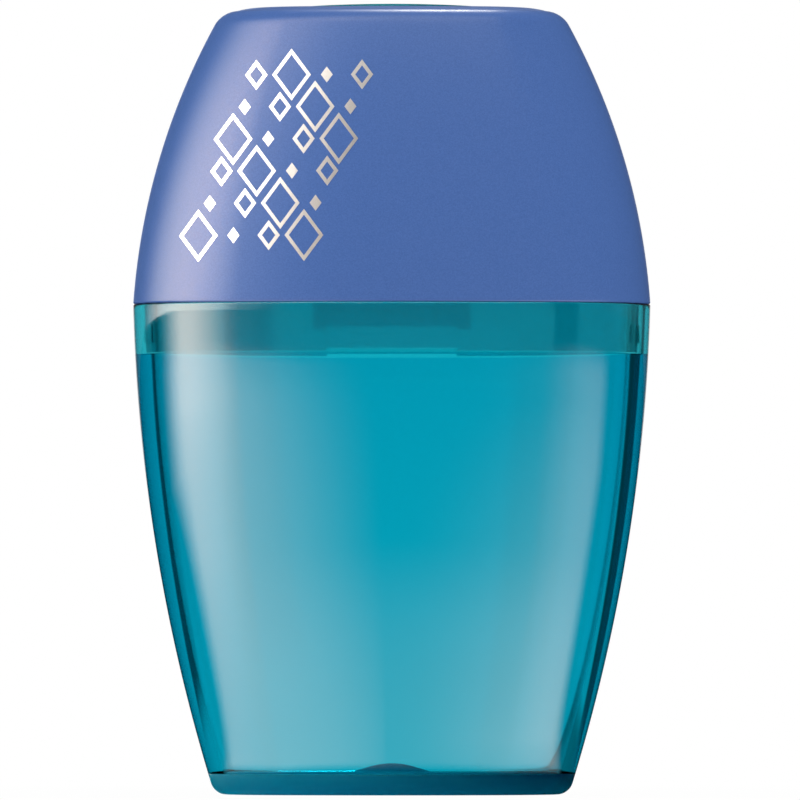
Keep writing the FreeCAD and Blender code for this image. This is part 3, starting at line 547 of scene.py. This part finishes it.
def flecked(tree, shader, place, size, dark, light):
    """Places the flakes and feeds the shader's colour from them."""
    feeds = {"Place": place, "Flake Size": size, "Dark": dark, "Light": light}
    flakes = add_node(tree, "ShaderNodeGroup", feeds, node_tree=pearl_flakes)
    feed(tree, shader.inputs["Base Color"], flakes.outputs[0])


def pearl_plastic():
    material, tree, shader, place = new_material("pearl_cap_plastic")
    flecked(tree, shader, place, PEARL_FLAKE, PEARL_DARK, PEARL_LIGHT)
    shader.inputs["Specular IOR Level"].default_value = PEARL_GLOSS
    shader.inputs["Specular Tint"].default_value = PEARL_SHEEN
    moulded(tree, shader, place, PEARL_WAVE, WAVE_HEIGHT, PEARL_SATIN)
    return material


cap_plastic = pearl_plastic()
print("pearl flakes:", len(pearl_flakes.nodes), "nodes")

# %% [markdown]
# ## The cap
#
# The cap is a hollow shell that narrows to a gently crowned top with an oval opening, through which the
# frame's boss shows. Its rings run in a closed loop: from the opening out over the crown, down the
# outside to the seam, up the inside past the shoulder that rests on the frame, and back in under the roof.

# %% Make the cap
CAP_EDGE_ROUND = 1.3 * MM
CROWN_RISE = 0.35 * MM
CROWN_REACH = 3.4 * MM
RIM_WALL = 1.5 * MM
CAP_WALL = 2.0 * MM
SHOULDER = JOINT_HEIGHT + 5.15 * MM
ROOF = CAP_TOP - 1.6 * MM
ROOF_ROUND = 0.8 * MM
PORT_HALF_WIDTH, PORT_HALF_DEPTH, PORT_END_RADIUS = 9.2 * MM, 6.2 * MM, 5.4 * MM
PORT_GAP = 0.15 * MM
PORT_ROUND = 0.25 * MM


def port_ring(growth, height):
    """The boss's oval outline, grown outwards."""
    end_centre = PORT_HALF_WIDTH - PORT_END_RADIUS
    side_centre = side_arc_radius(PORT_HALF_DEPTH, end_centre, PORT_END_RADIUS) - PORT_HALF_DEPTH
    return end_centre, side_centre, PORT_END_RADIUS + growth, height


def crown_points(steps=10):
    """Pairs of inset and height over the crown, from its middle out to the rounded edge."""
    points = []
    for step in range(steps, -1, -1):
        share = step / steps
        inset = CAP_EDGE_ROUND + (CROWN_REACH - CAP_EDGE_ROUND) * share
        rise = CROWN_RISE * (1 - (1 - share) ** 2)
        points.append((inset, CAP_TOP - CROWN_RISE + rise))
    return points


def cap_rings():
    edge = CAP_TOP - CROWN_RISE - CAP_EDGE_ROUND
    outer = crown_points()[:-1]
    outer += rounding((CAP_EDGE_ROUND, edge), CAP_EDGE_ROUND, 90, 180)
    outer += straight((0, edge), (0, JOINT_HEIGHT + SEAM_ROUND))[1:-1]
    outer += rounding((SEAM_ROUND, JOINT_HEIGHT + SEAM_ROUND), SEAM_ROUND, 180, 270)
    inner_corner = (RIM_WALL - RIM_ROUND, JOINT_HEIGHT + RIM_ROUND)
    outer += straight((SEAM_ROUND, JOINT_HEIGHT), (inner_corner[0], JOINT_HEIGHT), 6)[1:-1]
    inner = rounding(inner_corner, RIM_ROUND, -90, 0)
    inner += straight((RIM_WALL, inner_corner[1]), (RIM_WALL, SHOULDER), 12)[1:]
    inner += straight((RIM_WALL, SHOULDER), (CAP_WALL, SHOULDER), 4)[1:]
    roof_corner = (CAP_WALL + ROOF_ROUND, ROOF - ROOF_ROUND)
    inner += straight((CAP_WALL, SHOULDER), (CAP_WALL, roof_corner[1]), 40)[1:-1]
    inner += rounding(roof_corner, ROOF_ROUND, 180, 90)
    inner += [(CAP_WALL + ROOF_ROUND + EASE, ROOF)]
    walls = [wall_ring(CAP_ARC, inset, height) for inset, height in outer + inner]
    opening = [port_ring(PORT_GAP + EASE, ROOF), port_ring(PORT_GAP, ROOF), port_ring(PORT_GAP, ROOF + EASE)]
    lip = rounding((PORT_ROUND, CAP_TOP - PORT_ROUND), PORT_ROUND, 180, 90)
    opening += [port_ring(PORT_GAP + inset, height) for inset, height in lip]
    opening += [port_ring(PORT_GAP + PORT_ROUND + EASE, CAP_TOP)]
    rings = opening + walls
    return rings + rings[:1]


cap_cover = ring_shell("cap_cover", cap_rings(), cap_plastic)

# %% [markdown]
# ## Foil print
#
# The front of the cap carries a silver print, hot-stamped from foil: a film a few hundredths of a
# millimetre thick that follows the surface. Ours is a plain lattice of lozenges, solid and outlined. It
# repeats and it follows a surface, so it is a job for Geometry Nodes: the tree lays lozenges on the points
# of a leaning lattice, casts every vertex onto the cap along the view, and gives the film its thickness.
# The lozenges take turns along the rows. Each has a height, a number of cells along its side, and a
# border counted in cells, where none means solid.

# %% The print tree
LOZENGES = ((5.2 * MM, 18, 2), (1.6 * MM, 6, 0), (3.0 * MM, 10, 2))
LOZENGE_SLIMNESS = 0.74


def add_lozenge(tree, height, cells, border):
    """A lozenge of square cells, upright in the XZ plane; a border in cells leaves its middle open."""
    side = height / math.sqrt(2)
    feeds = {"Size X": side, "Size Y": side, "Vertices X": cells + 1, "Vertices Y": cells + 1}
    shape = add_node(tree, "GeometryNodeMeshGrid", feeds).outputs[0]
    if border:
        spot = tree.nodes.new("GeometryNodeInputPosition").outputs[0]
        x, y = add_node(tree, "ShaderNodeSeparateXYZ", {0: spot}).outputs[:2]
        reach = calc(tree, "MAXIMUM", calc(tree, "ABSOLUTE", x), calc(tree, "ABSOLUTE", y))
        inside = calc(tree, "LESS_THAN", reach, side * (0.5 - border / cells))
        feeds = {"Geometry": shape, "Selection": inside}
        shape = add_node(tree, "GeometryNodeDeleteGeometry", feeds, domain="FACE").outputs[0]
    onto_corner = ("Rotation", (0, 0, math.pi / 4))
    slim = ("Scale", (LOZENGE_SLIMNESS, 1, 1))
    upright = ("Rotation", (math.pi / 2, 0, 0))
    for socket, value in (onto_corner, slim, upright):
        shape = add_node(tree, "GeometryNodeTransform", {"Geometry": shape, socket: value}).outputs[0]
    return shape


def build_print_tree():
    inputs = (
        ("Points", "Geometry"),
        ("Surface", "Object"),
        ("Columns", "Int"),
        ("Rows", "Int"),
        ("Corner", "Vector"),
        ("Across", "Float"),
        ("Up", "Float"),
        ("Lean", "Float"),
        ("Sunk", "Float"),
        ("Film", "Float"),
        ("Finish", "Material"),
    )
    tree, given = new_tree("foil_lattice", "GeometryNodeTree", inputs, [("Print", "Geometry")])
    feeds = {"Vertices X": given["Columns"], "Vertices Y": given["Rows"]}
    lattice = add_node(tree, "GeometryNodeMeshGrid", feeds).outputs[0]
    row, column = grid_place(tree, given["Rows"])
    leaning = calc(tree, "MULTIPLY", row, given["Lean"])
    over = calc(tree, "ADD", calc(tree, "MULTIPLY", column, given["Across"]), leaning)
    up = calc(tree, "MULTIPLY", row, given["Up"])
    step = add_node(tree, "ShaderNodeCombineXYZ", {0: over, 2: up}).outputs[0]
    spot = add_node(tree, "ShaderNodeVectorMath", {0: given["Corner"], 1: step}).outputs[0]
    points = add_node(tree, "GeometryNodeSetPosition", {0: lattice, "Position": spot}).outputs[0]

    kinds = tree.nodes.new("GeometryNodeGeometryToInstance")
    for height, cells, border in reversed(LOZENGES):
        feed(tree, kinds.inputs[0], add_lozenge(tree, height, cells, border))
    kind = calc(tree, "MODULO", calc(tree, "ADD", row, column), len(LOZENGES))
    feeds = {"Points": points, "Instance": kinds.outputs[0], "Pick Instance": True, "Instance Index": kind}
    laid = add_node(tree, "GeometryNodeInstanceOnPoints", feeds)
    real = add_node(tree, "GeometryNodeRealizeInstances", {0: laid.outputs[0]}).outputs[0]

    cap = add_node(tree, "GeometryNodeObjectInfo", {"Object": given["Surface"]}).outputs["Geometry"]
    ray = add_node(tree, "GeometryNodeRaycast", {"Target Geometry": cap, "Ray Direction": (0, 1, 0)})
    hit_place, hit_normal = ray.outputs["Hit Position"], ray.outputs["Hit Normal"]
    keep = add_node(tree, "GeometryNodeCaptureAttribute", {0: real})
    keep.capture_items.new("VECTOR", "Facing")
    feed(tree, keep.inputs[1], hit_normal)
    facing = keep.outputs[1]
    feeds = {0: hit_normal, "Scale": given["Sunk"]}
    sink = add_node(tree, "ShaderNodeVectorMath", feeds, operation="SCALE").outputs[0]
    feeds = {0: hit_place, 1: sink}
    base_spot = add_node(tree, "ShaderNodeVectorMath", feeds, operation="SUBTRACT").outputs[0]
    base = add_node(tree, "GeometryNodeSetPosition", {0: keep.outputs[0], "Position": base_spot}).outputs[0]
    feeds = {"Mesh": base, "Offset": facing, "Offset Scale": given["Film"], "Individual": False}
    raised = add_node(tree, "GeometryNodeExtrudeMesh", feeds, mode="FACES").outputs[0]
    back = add_node(tree, "GeometryNodeFlipFaces", {0: base}).outputs[0]
    both = tree.nodes.new("GeometryNodeJoinGeometry")
    feed(tree, both.inputs[0], raised)
    feed(tree, both.inputs[0], back)
    end_tree(tree, both.outputs[0], given["Finish"])
    return tree


print_tree = build_print_tree()
print("print tree:", len(print_tree.nodes), "nodes")

# %% [markdown]
# Hot foil is aluminium under a clear lacquer: bright, a little soft in its gloss, and never quite even,
# because the stamp presses harder in some places. The flakes and the moulded skin serve here too, with
# values of their own.

# %% Make the print
FOIL_FLECK = 0.06 * MM
FOIL_DARK, FOIL_LIGHT = (0.74, 0.73, 0.71, 1), (0.80, 0.79, 0.77, 1)
FOIL_METAL = 0.85
FOIL_WAVE, FOIL_DENT = 1.5 * MM, 0.001 * MM
FOIL_GLOSS = (0.28, 0.36)


def foil_finish():
    material, tree, shader, place = new_material("silver_foil")
    flecked(tree, shader, place, FOIL_FLECK, FOIL_DARK, FOIL_LIGHT)
    shader.inputs["Metallic"].default_value = FOIL_METAL
    moulded(tree, shader, place, FOIL_WAVE, FOIL_DENT, FOIL_GLOSS)
    return material


print_values = {
    "Surface": cap_cover,
    "Columns": 4,
    "Rows": 6,
    "Corner": (-19.2 * MM, -40 * MM, 55.6 * MM),
    "Across": 3.5 * MM,
    "Up": 3.2 * MM,
    "Lean": 1.15 * MM,
    "Sunk": 0.02 * MM,
    "Film": 0.05 * MM,
    "Finish": foil_finish(),
}
foil_print = grow("foil_print", bpy.data.meshes.new("print_seed"), print_tree, print_values)

# %% [markdown]
# ## Metals
#
# The wedge block, the blade and its screw keep their CAD shapes, which are right. They get brushed metal:
# a long fine noise stretched along the grain drives the shade, the roughness and a slight bump. The
# frame keeps its CAD shape too, and gets its clear plastic here.

# %% Metal finishes
GRAIN_DETAIL = 3.0
GRAIN_LOW, GRAIN_HIGH = 0.3, 0.7
GRAIN_STRENGTH = 0.6


def build_brushed_grain():
    """Fine lines along one direction, for metal that was extruded, ground or turned."""
    inputs = (("Place", "Vector"), ("Stretch", "Vector"), ("Smoothest", "Float"), ("Dullest", "Float"))
    outputs = (("Roughness", "Float"), ("Height", "Float"), ("Shade", "Float"))
    tree, given = new_tree("brushed_grain", "ShaderNodeTree", inputs, outputs)
    feeds = {0: given["Place"], 1: given["Stretch"]}
    stretched = add_node(tree, "ShaderNodeVectorMath", feeds, operation="MULTIPLY").outputs[0]
    lines = add_noise(tree, stretched, 1.0, GRAIN_DETAIL)
    roughness = ramp(tree, lines, (GRAIN_LOW, given["Smoothest"]), (GRAIN_HIGH, given["Dullest"]))
    add_node(tree, "NodeGroupOutput", {"Roughness": roughness, "Height": lines, "Shade": lines})
    return tree


brushed_grain = build_brushed_grain()


def brushed_metal(name, dark, light, stretch, polish, depth):
    material, tree, shader, place = new_material(name)
    smoothest, dullest = polish
    feeds = {"Place": place, "Stretch": stretch, "Smoothest": smoothest, "Dullest": dullest}
    grain = add_node(tree, "ShaderNodeGroup", feeds, node_tree=brushed_grain).outputs
    feed(tree, shader.inputs["Base Color"], tint(tree, grain["Shade"], dark, light))
    shader.inputs["Metallic"].default_value = 1.0
    surface_from(tree, shader, grain, GRAIN_STRENGTH, depth)
    return material


FINE, LONG = 1 / (0.05 * MM), 1 / (3 * MM)
block_alloy = brushed_metal(
    "block_alloy_metal",
    dark=(0.50, 0.51, 0.53, 1),
    light=(0.68, 0.69, 0.71, 1),
    stretch=(FINE, FINE, LONG),
    polish=(0.28, 0.48),
    depth=0.006 * MM,
)
blade_steel = brushed_metal(
    "blade_steel_metal",
    dark=(0.44, 0.46, 0.49, 1),
    light=(0.62, 0.64, 0.67, 1),
    stretch=(LONG, FINE, FINE),
    polish=(0.16, 0.30),
    depth=0.003 * MM,
)
screw_steel = brushed_metal(
    "screw_steel_metal",
    dark=(0.52, 0.51, 0.47, 1),
    light=(0.66, 0.65, 0.61, 1),
    stretch=(FINE, FINE, FINE),
    polish=(0.22, 0.40),
    depth=0.004 * MM,
)
node_finishes = {
    "inner_frame": frame_plastic,
    "sharpener_block": block_alloy,
    "sharpener_blade": blade_steel,
    "blade_screw": screw_steel,
}
for node, finish in node_finishes.items():
    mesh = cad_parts[node].data
    mesh.materials.clear()
    mesh.materials.append(finish)
print("finishes on CAD nodes:", ", ".join(node_finishes))

# %% [markdown]
# ## Studio
#
# Clear plastic is drawn by what surrounds it. In the photograph a white backdrop stands behind the object
# and a softbox on the left; the rest of the room is dark. That is why the sides end in near-black lines:
# there the curved wall bends the view past the edge of the backdrop. The room is easiest to write as a
# rule of directions in the world shader, and the floor follows the same rules. These helpers are the
# shapes that such rules are made of: slopes, a backdrop in each of the four main directions, so that the
# plastic also looks right from the sides and the back, and a bell round one direction for a softbox.

# %% Rules of directions
BACKDROP_EDGE = 25
BACKDROP_SOFTNESS = 3
SIDE_GAIN = 1.5


def blend(tree, share, first, second):
    """Goes from the first value to the second by a share of 0 to 1."""
    feeds = {0: share, 2: first, 3: second}
    return add_node(tree, "ShaderNodeMix", feeds, data_type="FLOAT").outputs[0]


def times(tree, product, *values):
    """The product of two or more values."""
    for value in values:
        product = calc(tree, "MULTIPLY", product, value)
    return product


def smooth(tree, value, start, stop):
    """0 up to the start, 1 from the stop, with an easy slope between."""
    feeds = {"Value": value, "From Min": start, "From Max": stop}
    return add_node(tree, "ShaderNodeMapRange", feeds, interpolation_type="SMOOTHSTEP").outputs[0]


def bend(tree, value, start, middle, stop):
    """Two straight slopes that meet in the middle point."""
    rise = ramp(tree, value, (middle[0], 0.0), (stop[0], stop[1] - middle[1]))
    return calc(tree, "ADD", ramp(tree, value, start, middle), rise)


def across(tree, x, y):
    """How far a place lies from the object's axis."""
    return calc(tree, "SQRT", calc(tree, "ADD", calc(tree, "POWER", x, 2), calc(tree, "POWER", y, 2)))


def backdrop_mask(tree, x, y):
    """A backdrop in each main direction: 1 in its middle, more at its sides, 0 past its right edge."""
    quarter = math.pi / 2
    turn = calc(tree, "ADD", calc(tree, "ARCTAN2", x, y), quarter / 2)
    turn = calc(tree, "SUBTRACT", calc(tree, "FLOORED_MODULO", turn, quarter), quarter / 2)
    edge, soft = math.radians(BACKDROP_EDGE), math.radians(BACKDROP_SOFTNESS)
    left = smooth(tree, turn, -quarter / 2, -quarter / 2 + 2 * soft)
    right = smooth(tree, turn, edge + soft, edge - soft)
    gain = ramp(tree, calc(tree, "ABSOLUTE", turn), (0.0, 1.0), (edge, SIDE_GAIN))
    return times(tree, left, right, gain)


def bell(tree, x, y, azimuth, reach, sharpness):
    """1 towards an azimuth, and less to both sides until its reach; azimuth 0 is the camera's side."""
    turn = math.radians(azimuth)
    sideways = calc(tree, "MULTIPLY", x, math.sin(turn))
    forwards = calc(tree, "MULTIPLY", y, -math.cos(turn))
    cosine = calc(tree, "DIVIDE", calc(tree, "ADD", sideways, forwards), across(tree, x, y))
    share = ramp(tree, cosine, (math.cos(math.radians(reach)), 0.0), (1.0, 1.0))
    return calc(tree, "POWER", share, sharpness)


def level_by_ray(tree, path, scattered, mirrored, passing):
    """A level for each kind of ray: white for the camera, and one for each of the other three."""
    level = blend(tree, path["Is Glossy Ray"], scattered, mirrored)
    level = blend(tree, path["Is Transmission Ray"], level, passing)
    return blend(tree, path["Is Camera Ray"], level, 1.0)


def mirrored_only(tree, path):
    """1 for rays that were mirrored, and 0 for those that passed through."""
    return calc(tree, "GREATER_THAN", path["Is Glossy Ray"], path["Is Transmission Ray"])


print("backdrops reach", BACKDROP_EDGE, "degrees to their right")

# %% [markdown]
# Now the world itself. Light Path picks what each kind of ray sees: white for the camera, an even level
# for matt surfaces, the backdrops and a bright ceiling for rays that pass through plastic, and for
# mirrored rays a dim room with a warm softbox, a narrow bright strip straight behind, and a ceiling. The
# softbox leans towards the camera as it rises. Fades and edges are parts of a direction of length 1:
# the upward part for the softbox and the ceiling, and the backward part for the rear and the strip.

# %% The room
SOFTBOX_AZIMUTH = -79
SOFTBOX_REACH = 58
SOFTBOX_SHARPNESS = 2
SOFTBOX_LEAN = 0.45
SOFTBOX_FADE = (1.1, 0.35)
SOFTBOX_LEVEL = 10.3
SOFTBOX_COLOUR = (1.0, 0.82, 0.66, 1)
ROOM_LEVEL, BACKDROP_LEVEL = 0.1, 0.765
REAR_EDGE, REAR_LEVEL = (-0.2, 0.3), 0.045
STRIP_EDGE, STRIP_LEVEL = (0.96, 0.99), 0.5
CEILING_EDGE, CEILING_LEVEL = (0.2, 0.6), 0.1
AMBIENT_LEVEL = 0.7


def make_world():
    world = bpy.data.worlds.new("studio")
    bpy.context.scene.world = world
    tree = blank_tree(world)
    world.cycles.sampling_method = "NONE"
    direction = tree.nodes.new("ShaderNodeTexCoord").outputs["Generated"]
    x, y, z = add_node(tree, "ShaderNodeSeparateXYZ", {0: direction}).outputs
    leaning = calc(tree, "ADD", y, calc(tree, "MULTIPLY", z, SOFTBOX_LEAN))
    softbox = bell(tree, x, leaning, SOFTBOX_AZIMUTH, SOFTBOX_REACH, SOFTBOX_SHARPNESS)
    lamp = times(tree, softbox, smooth(tree, z, *SOFTBOX_FADE), SOFTBOX_LEVEL)
    ceiling = smooth(tree, z, *CEILING_EDGE)
    bright = calc(tree, "MAXIMUM", backdrop_mask(tree, x, y), ceiling)
    passing = blend(tree, bright, ROOM_LEVEL, BACKDROP_LEVEL)
    strip = times(tree, smooth(tree, y, *STRIP_EDGE), STRIP_LEVEL)
    rear = calc(tree, "ADD", times(tree, smooth(tree, y, *REAR_EDGE), REAR_LEVEL), strip)
    mirrored = calc(tree, "ADD", blend(tree, ceiling, rear, CEILING_LEVEL), lamp)
    path = tree.nodes.new("ShaderNodeLightPath").outputs
    level = level_by_ray(tree, path, AMBIENT_LEVEL, mirrored, passing)
    warmth = times(tree, mirrored_only(tree, path), softbox)
    colour = tint(tree, warmth, WHITE, SOFTBOX_COLOUR)
    sky = add_node(tree, "ShaderNodeBackground", {"Color": colour, "Strength": level})
    add_node(tree, "ShaderNodeOutputWorld", {"Surface": sky.outputs[0]})


make_world()
print("world: softbox at", SOFTBOX_AZIMUTH, "degrees, level", SOFTBOX_LEVEL)

# %% [markdown]
# ## Floor
#
# The floor is white paper. Straight from the camera it is white and carries a soft shadow close to the
# object. The receptacle's upright wall mirrors it, and that makes the pale veil on the plastic, so what
# mirrored rays see is fitted with care: a pool of light in front, and a warm glow on each side whose
# width and strength change with the distance. Each pair below is a distance in metres and a value there.
# Edges say from where to where a glow comes in, as a share forwards. Round the foot the floor is in
# shade. Rays that pass through plastic see it lit near the object, more on the left, and the room beyond.

# %% What the floor shows
GLOW_REACH = 77
LEFT_NARROWING = ((0.03, 0.65), (0.13, 1.5), (0.63, 2.75))
LEFT_FAR_NARROWING = ((0.68, 0.0), (0.95, 3.3))
LEFT_LEVEL = ((0.03, 2.9), (0.13, 5.6), (0.45, 8.7))
LEFT_EDGES = (((0.03, 0.06), (0.25, -0.36)), ((0.03, 0.28), (0.25, 0.16)))
RIGHT_AZIMUTH = 75
RIGHT_NARROWING = ((0.08, 2.2), (0.43, 5.6))
RIGHT_LEVEL = ((0.03, 3.4), (0.13, 2.3), (0.43, 1.6))
RIGHT_EDGES = (((0.03, 0.03), (0.25, -0.1)), ((0.03, 0.25), (0.25, 0.12)))
RIGHT_FADE = (0.95, 0.55)
POOL_FADE, POOL_EDGE, POOL_LEVEL = (0.15, 0.03), (0.0, 0.5), 0.8
FOOT_EDGE, FOOT_CLEAR = 17.9 * MM, 20.9 * MM
FOOT_DIM, FOOT_FULL = (20 * MM, 0.7), (27 * MM, 1.0)
LIT_FADE, LIT_SIDES = (0.10, 0.045), (0.03, -0.03)
LIT_RIGHT, LIT_LEFT = 0.3, 0.9
# Levels under the foot at its left and its right: painted light at the left, painted shade at the right.
UNDER_LEFT, UNDER_RIGHT = (-15 * MM, 0.85), (15 * MM, -0.1)


def mirrored_floor(tree, x, y, away, off_foot):
    """The level of the floor for mirrored rays."""
    forwards = calc(tree, "DIVIDE", calc(tree, "MULTIPLY", y, -1), across(tree, x, y))

    def glow(azimuth, narrowing, edges, level):
        start, stop = [ramp(tree, away, *edge) for edge in edges]
        beam = bell(tree, x, y, azimuth, GLOW_REACH, narrowing)
        return times(tree, beam, smooth(tree, forwards, start, stop), level)

    narrowing = calc(tree, "ADD", bend(tree, away, *LEFT_NARROWING), ramp(tree, away, *LEFT_FAR_NARROWING))
    left = glow(SOFTBOX_AZIMUTH, narrowing, LEFT_EDGES, bend(tree, away, *LEFT_LEVEL))
    fading = times(tree, bend(tree, away, *RIGHT_LEVEL), smooth(tree, away, *RIGHT_FADE))
    right = glow(RIGHT_AZIMUTH, ramp(tree, away, *RIGHT_NARROWING), RIGHT_EDGES, fading)
    right = times(tree, right, ramp(tree, off_foot, FOOT_DIM, FOOT_FULL))
    pool = times(tree, smooth(tree, away, *POOL_FADE), smooth(tree, forwards, *POOL_EDGE), POOL_LEVEL)
    glows = calc(tree, "ADD", pool, calc(tree, "ADD", left, right))
    return times(tree, glows, smooth(tree, off_foot, FOOT_EDGE, FOOT_CLEAR))


def passing_floor(tree, x, y, away, off_foot):
    """The level of the floor for rays that pass through plastic."""
    lit = blend(tree, smooth(tree, x, *LIT_SIDES), LIT_RIGHT, LIT_LEFT)
    bright = blend(tree, smooth(tree, away, *LIT_FADE), backdrop_mask(tree, x, y), lit)
    level = blend(tree, bright, ROOM_LEVEL, BACKDROP_LEVEL)
    # Under the foot the level is painted: painted light at the left, fading to painted shade at the right.
    under = ramp(tree, x, UNDER_LEFT, UNDER_RIGHT)
    return blend(tree, smooth(tree, off_foot, FOOT_CLEAR, FOOT_EDGE), level, under)


print("floor glows at", SOFTBOX_AZIMUTH, "and", RIGHT_AZIMUTH, "degrees")

# %% [markdown]
# The paper mixes two shaders. Emission shows the levels above, and Diffuse shows where the camera is to
# see the object's shadow and where matt surfaces gather their light. The foot is an oval, so distances
# from it are measured with the width pressed together.

# %% Make the floor
FLOOR_HALF = 2.5
FLOOR_GAP = 0.02 * MM
FOOT_RATIO = 0.8
PAPER_COLOUR = (0.86, 0.86, 0.86, 1)
GLOW_COLOUR = (1.0, 0.77, 0.63, 1)
SHADOW_FADE, SHADOW_DEPTH = (0.12, 0.03), 0.03


def floor_paper():
    material = bpy.data.materials.new("pale_floor")
    tree = blank_tree(material)
    material.cycles.emission_sampling = "NONE"
    place = tree.nodes.new("ShaderNodeTexCoord").outputs["Object"]
    x, y = add_node(tree, "ShaderNodeSeparateXYZ", {0: place}).outputs[:2]
    away = add_node(tree, "ShaderNodeVectorMath", {0: place}, operation="LENGTH").outputs["Value"]
    off_foot = across(tree, calc(tree, "MULTIPLY", x, FOOT_RATIO), y)
    mirrored = mirrored_floor(tree, x, y, away, off_foot)
    passing = passing_floor(tree, x, y, away, off_foot)
    path = tree.nodes.new("ShaderNodeLightPath").outputs
    level = level_by_ray(tree, path, 0.0, mirrored, passing)
    colour = tint(tree, mirrored_only(tree, path), WHITE, GLOW_COLOUR)
    glowing = add_node(tree, "ShaderNodeEmission", {"Color": colour, "Strength": level})
    paint = add_node(tree, "ShaderNodeBsdfDiffuse", {"Color": PAPER_COLOUR})
    shaded = times(tree, smooth(tree, away, *SHADOW_FADE), SHADOW_DEPTH)
    to_camera = times(tree, path["Is Camera Ray"], calc(tree, "SUBTRACT", 1.0, shaded))
    to_plastic = calc(tree, "MAXIMUM", path["Is Glossy Ray"], path["Is Transmission Ray"])
    share = calc(tree, "MAXIMUM", to_plastic, to_camera)
    both = add_node(tree, "ShaderNodeMixShader", {0: share, 1: paint.outputs[0], 2: glowing.outputs[0]})
    add_node(tree, "ShaderNodeOutputMaterial", {"Surface": both.outputs[0]})
    return material


def make_floor():
    corners = [(-FLOOR_HALF, -FLOOR_HALF, 0), (FLOOR_HALF, -FLOOR_HALF, 0)]
    corners += [(FLOOR_HALF, FLOOR_HALF, 0), (-FLOOR_HALF, FLOOR_HALF, 0)]
    mesh = bpy.data.meshes.new("floor")
    mesh.from_pydata(corners, [], [(0, 1, 2, 3)])
    floor = bpy.data.objects.new("floor", mesh)
    floor.location.z = -FLOOR_GAP
    bpy.context.collection.objects.link(floor)
    mesh.materials.append(floor_paper())


make_floor()
print("floor:", 2 * FLOOR_HALF, "m wide")

# %% [markdown]
# ## Lamps
#
# Two lamps add what the world does not. A wide one high above the front gives the soft shadow and the
# shade from top to bottom. A narrow one behind grazes the cap and draws the thin line of light along its
# top edge. Light has to cross many walls of clear plastic, so the bounces are raised.

# %% Place the lamps
LAMP_DISTANCE = 0.8
BOUNCES = 24


def softbox_lamp(name, azimuth, elevation, width, depth, power):
    """A rectangular lamp that faces the object; azimuth 0 is the camera's side and grows to the right."""
    lamp = bpy.data.lights.new(name, "AREA")
    lamp.shape = "RECTANGLE"
    lamp.size, lamp.size_y = width, depth
    lamp.energy = power
    stand = bpy.data.objects.new(name, lamp)
    bpy.context.collection.objects.link(stand)
    turn, tilt = math.radians(azimuth), math.radians(elevation)
    away = Vector((math.sin(turn) * math.cos(tilt), -math.cos(turn) * math.cos(tilt), math.sin(tilt)))
    stand.location = Vector((0, 0, AIM_HEIGHT)) + away * LAMP_DISTANCE
    stand.rotation_euler = (-away).to_track_quat("-Z", "Y").to_euler()
    stand.visible_camera = False


softbox_lamp("top_softbox", azimuth=8, elevation=62, width=0.6, depth=0.6, power=1.2)
softbox_lamp("rear_softbox", azimuth=174.5, elevation=55, width=0.06, depth=0.2, power=1.1)
scene = bpy.context.scene
scene.view_settings.view_transform = "Standard"
scene.cycles.max_bounces = BOUNCES
scene.cycles.transmission_bounces = BOUNCES
print("lamps:", ", ".join(lamp.name for lamp in bpy.data.lights))

# %% [markdown]
# ## The pieces on their bodies
#
# Each new piece rides on the body that it belongs to. The shell and the cover stand for their CAD nodes,
# which are then hidden, and the etched base and the print are extra pieces beside them.

# %% Ride and replace
pieces = (
    (receptacle_shell, "receptacle", "receptacle", "clear_receptacle"),
    (cap_cover, "head", "cap_shell", "pearl_cap"),
)
for piece, body, node, slot in pieces:
    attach(piece, body)
    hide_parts(node)
extra_pieces = (
    (receptacle_base, "receptacle", "clear_receptacle"),
    (foil_print, "head", "pearl_cap"),
)
for piece, body, slot in extra_pieces:
    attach(piece, body)
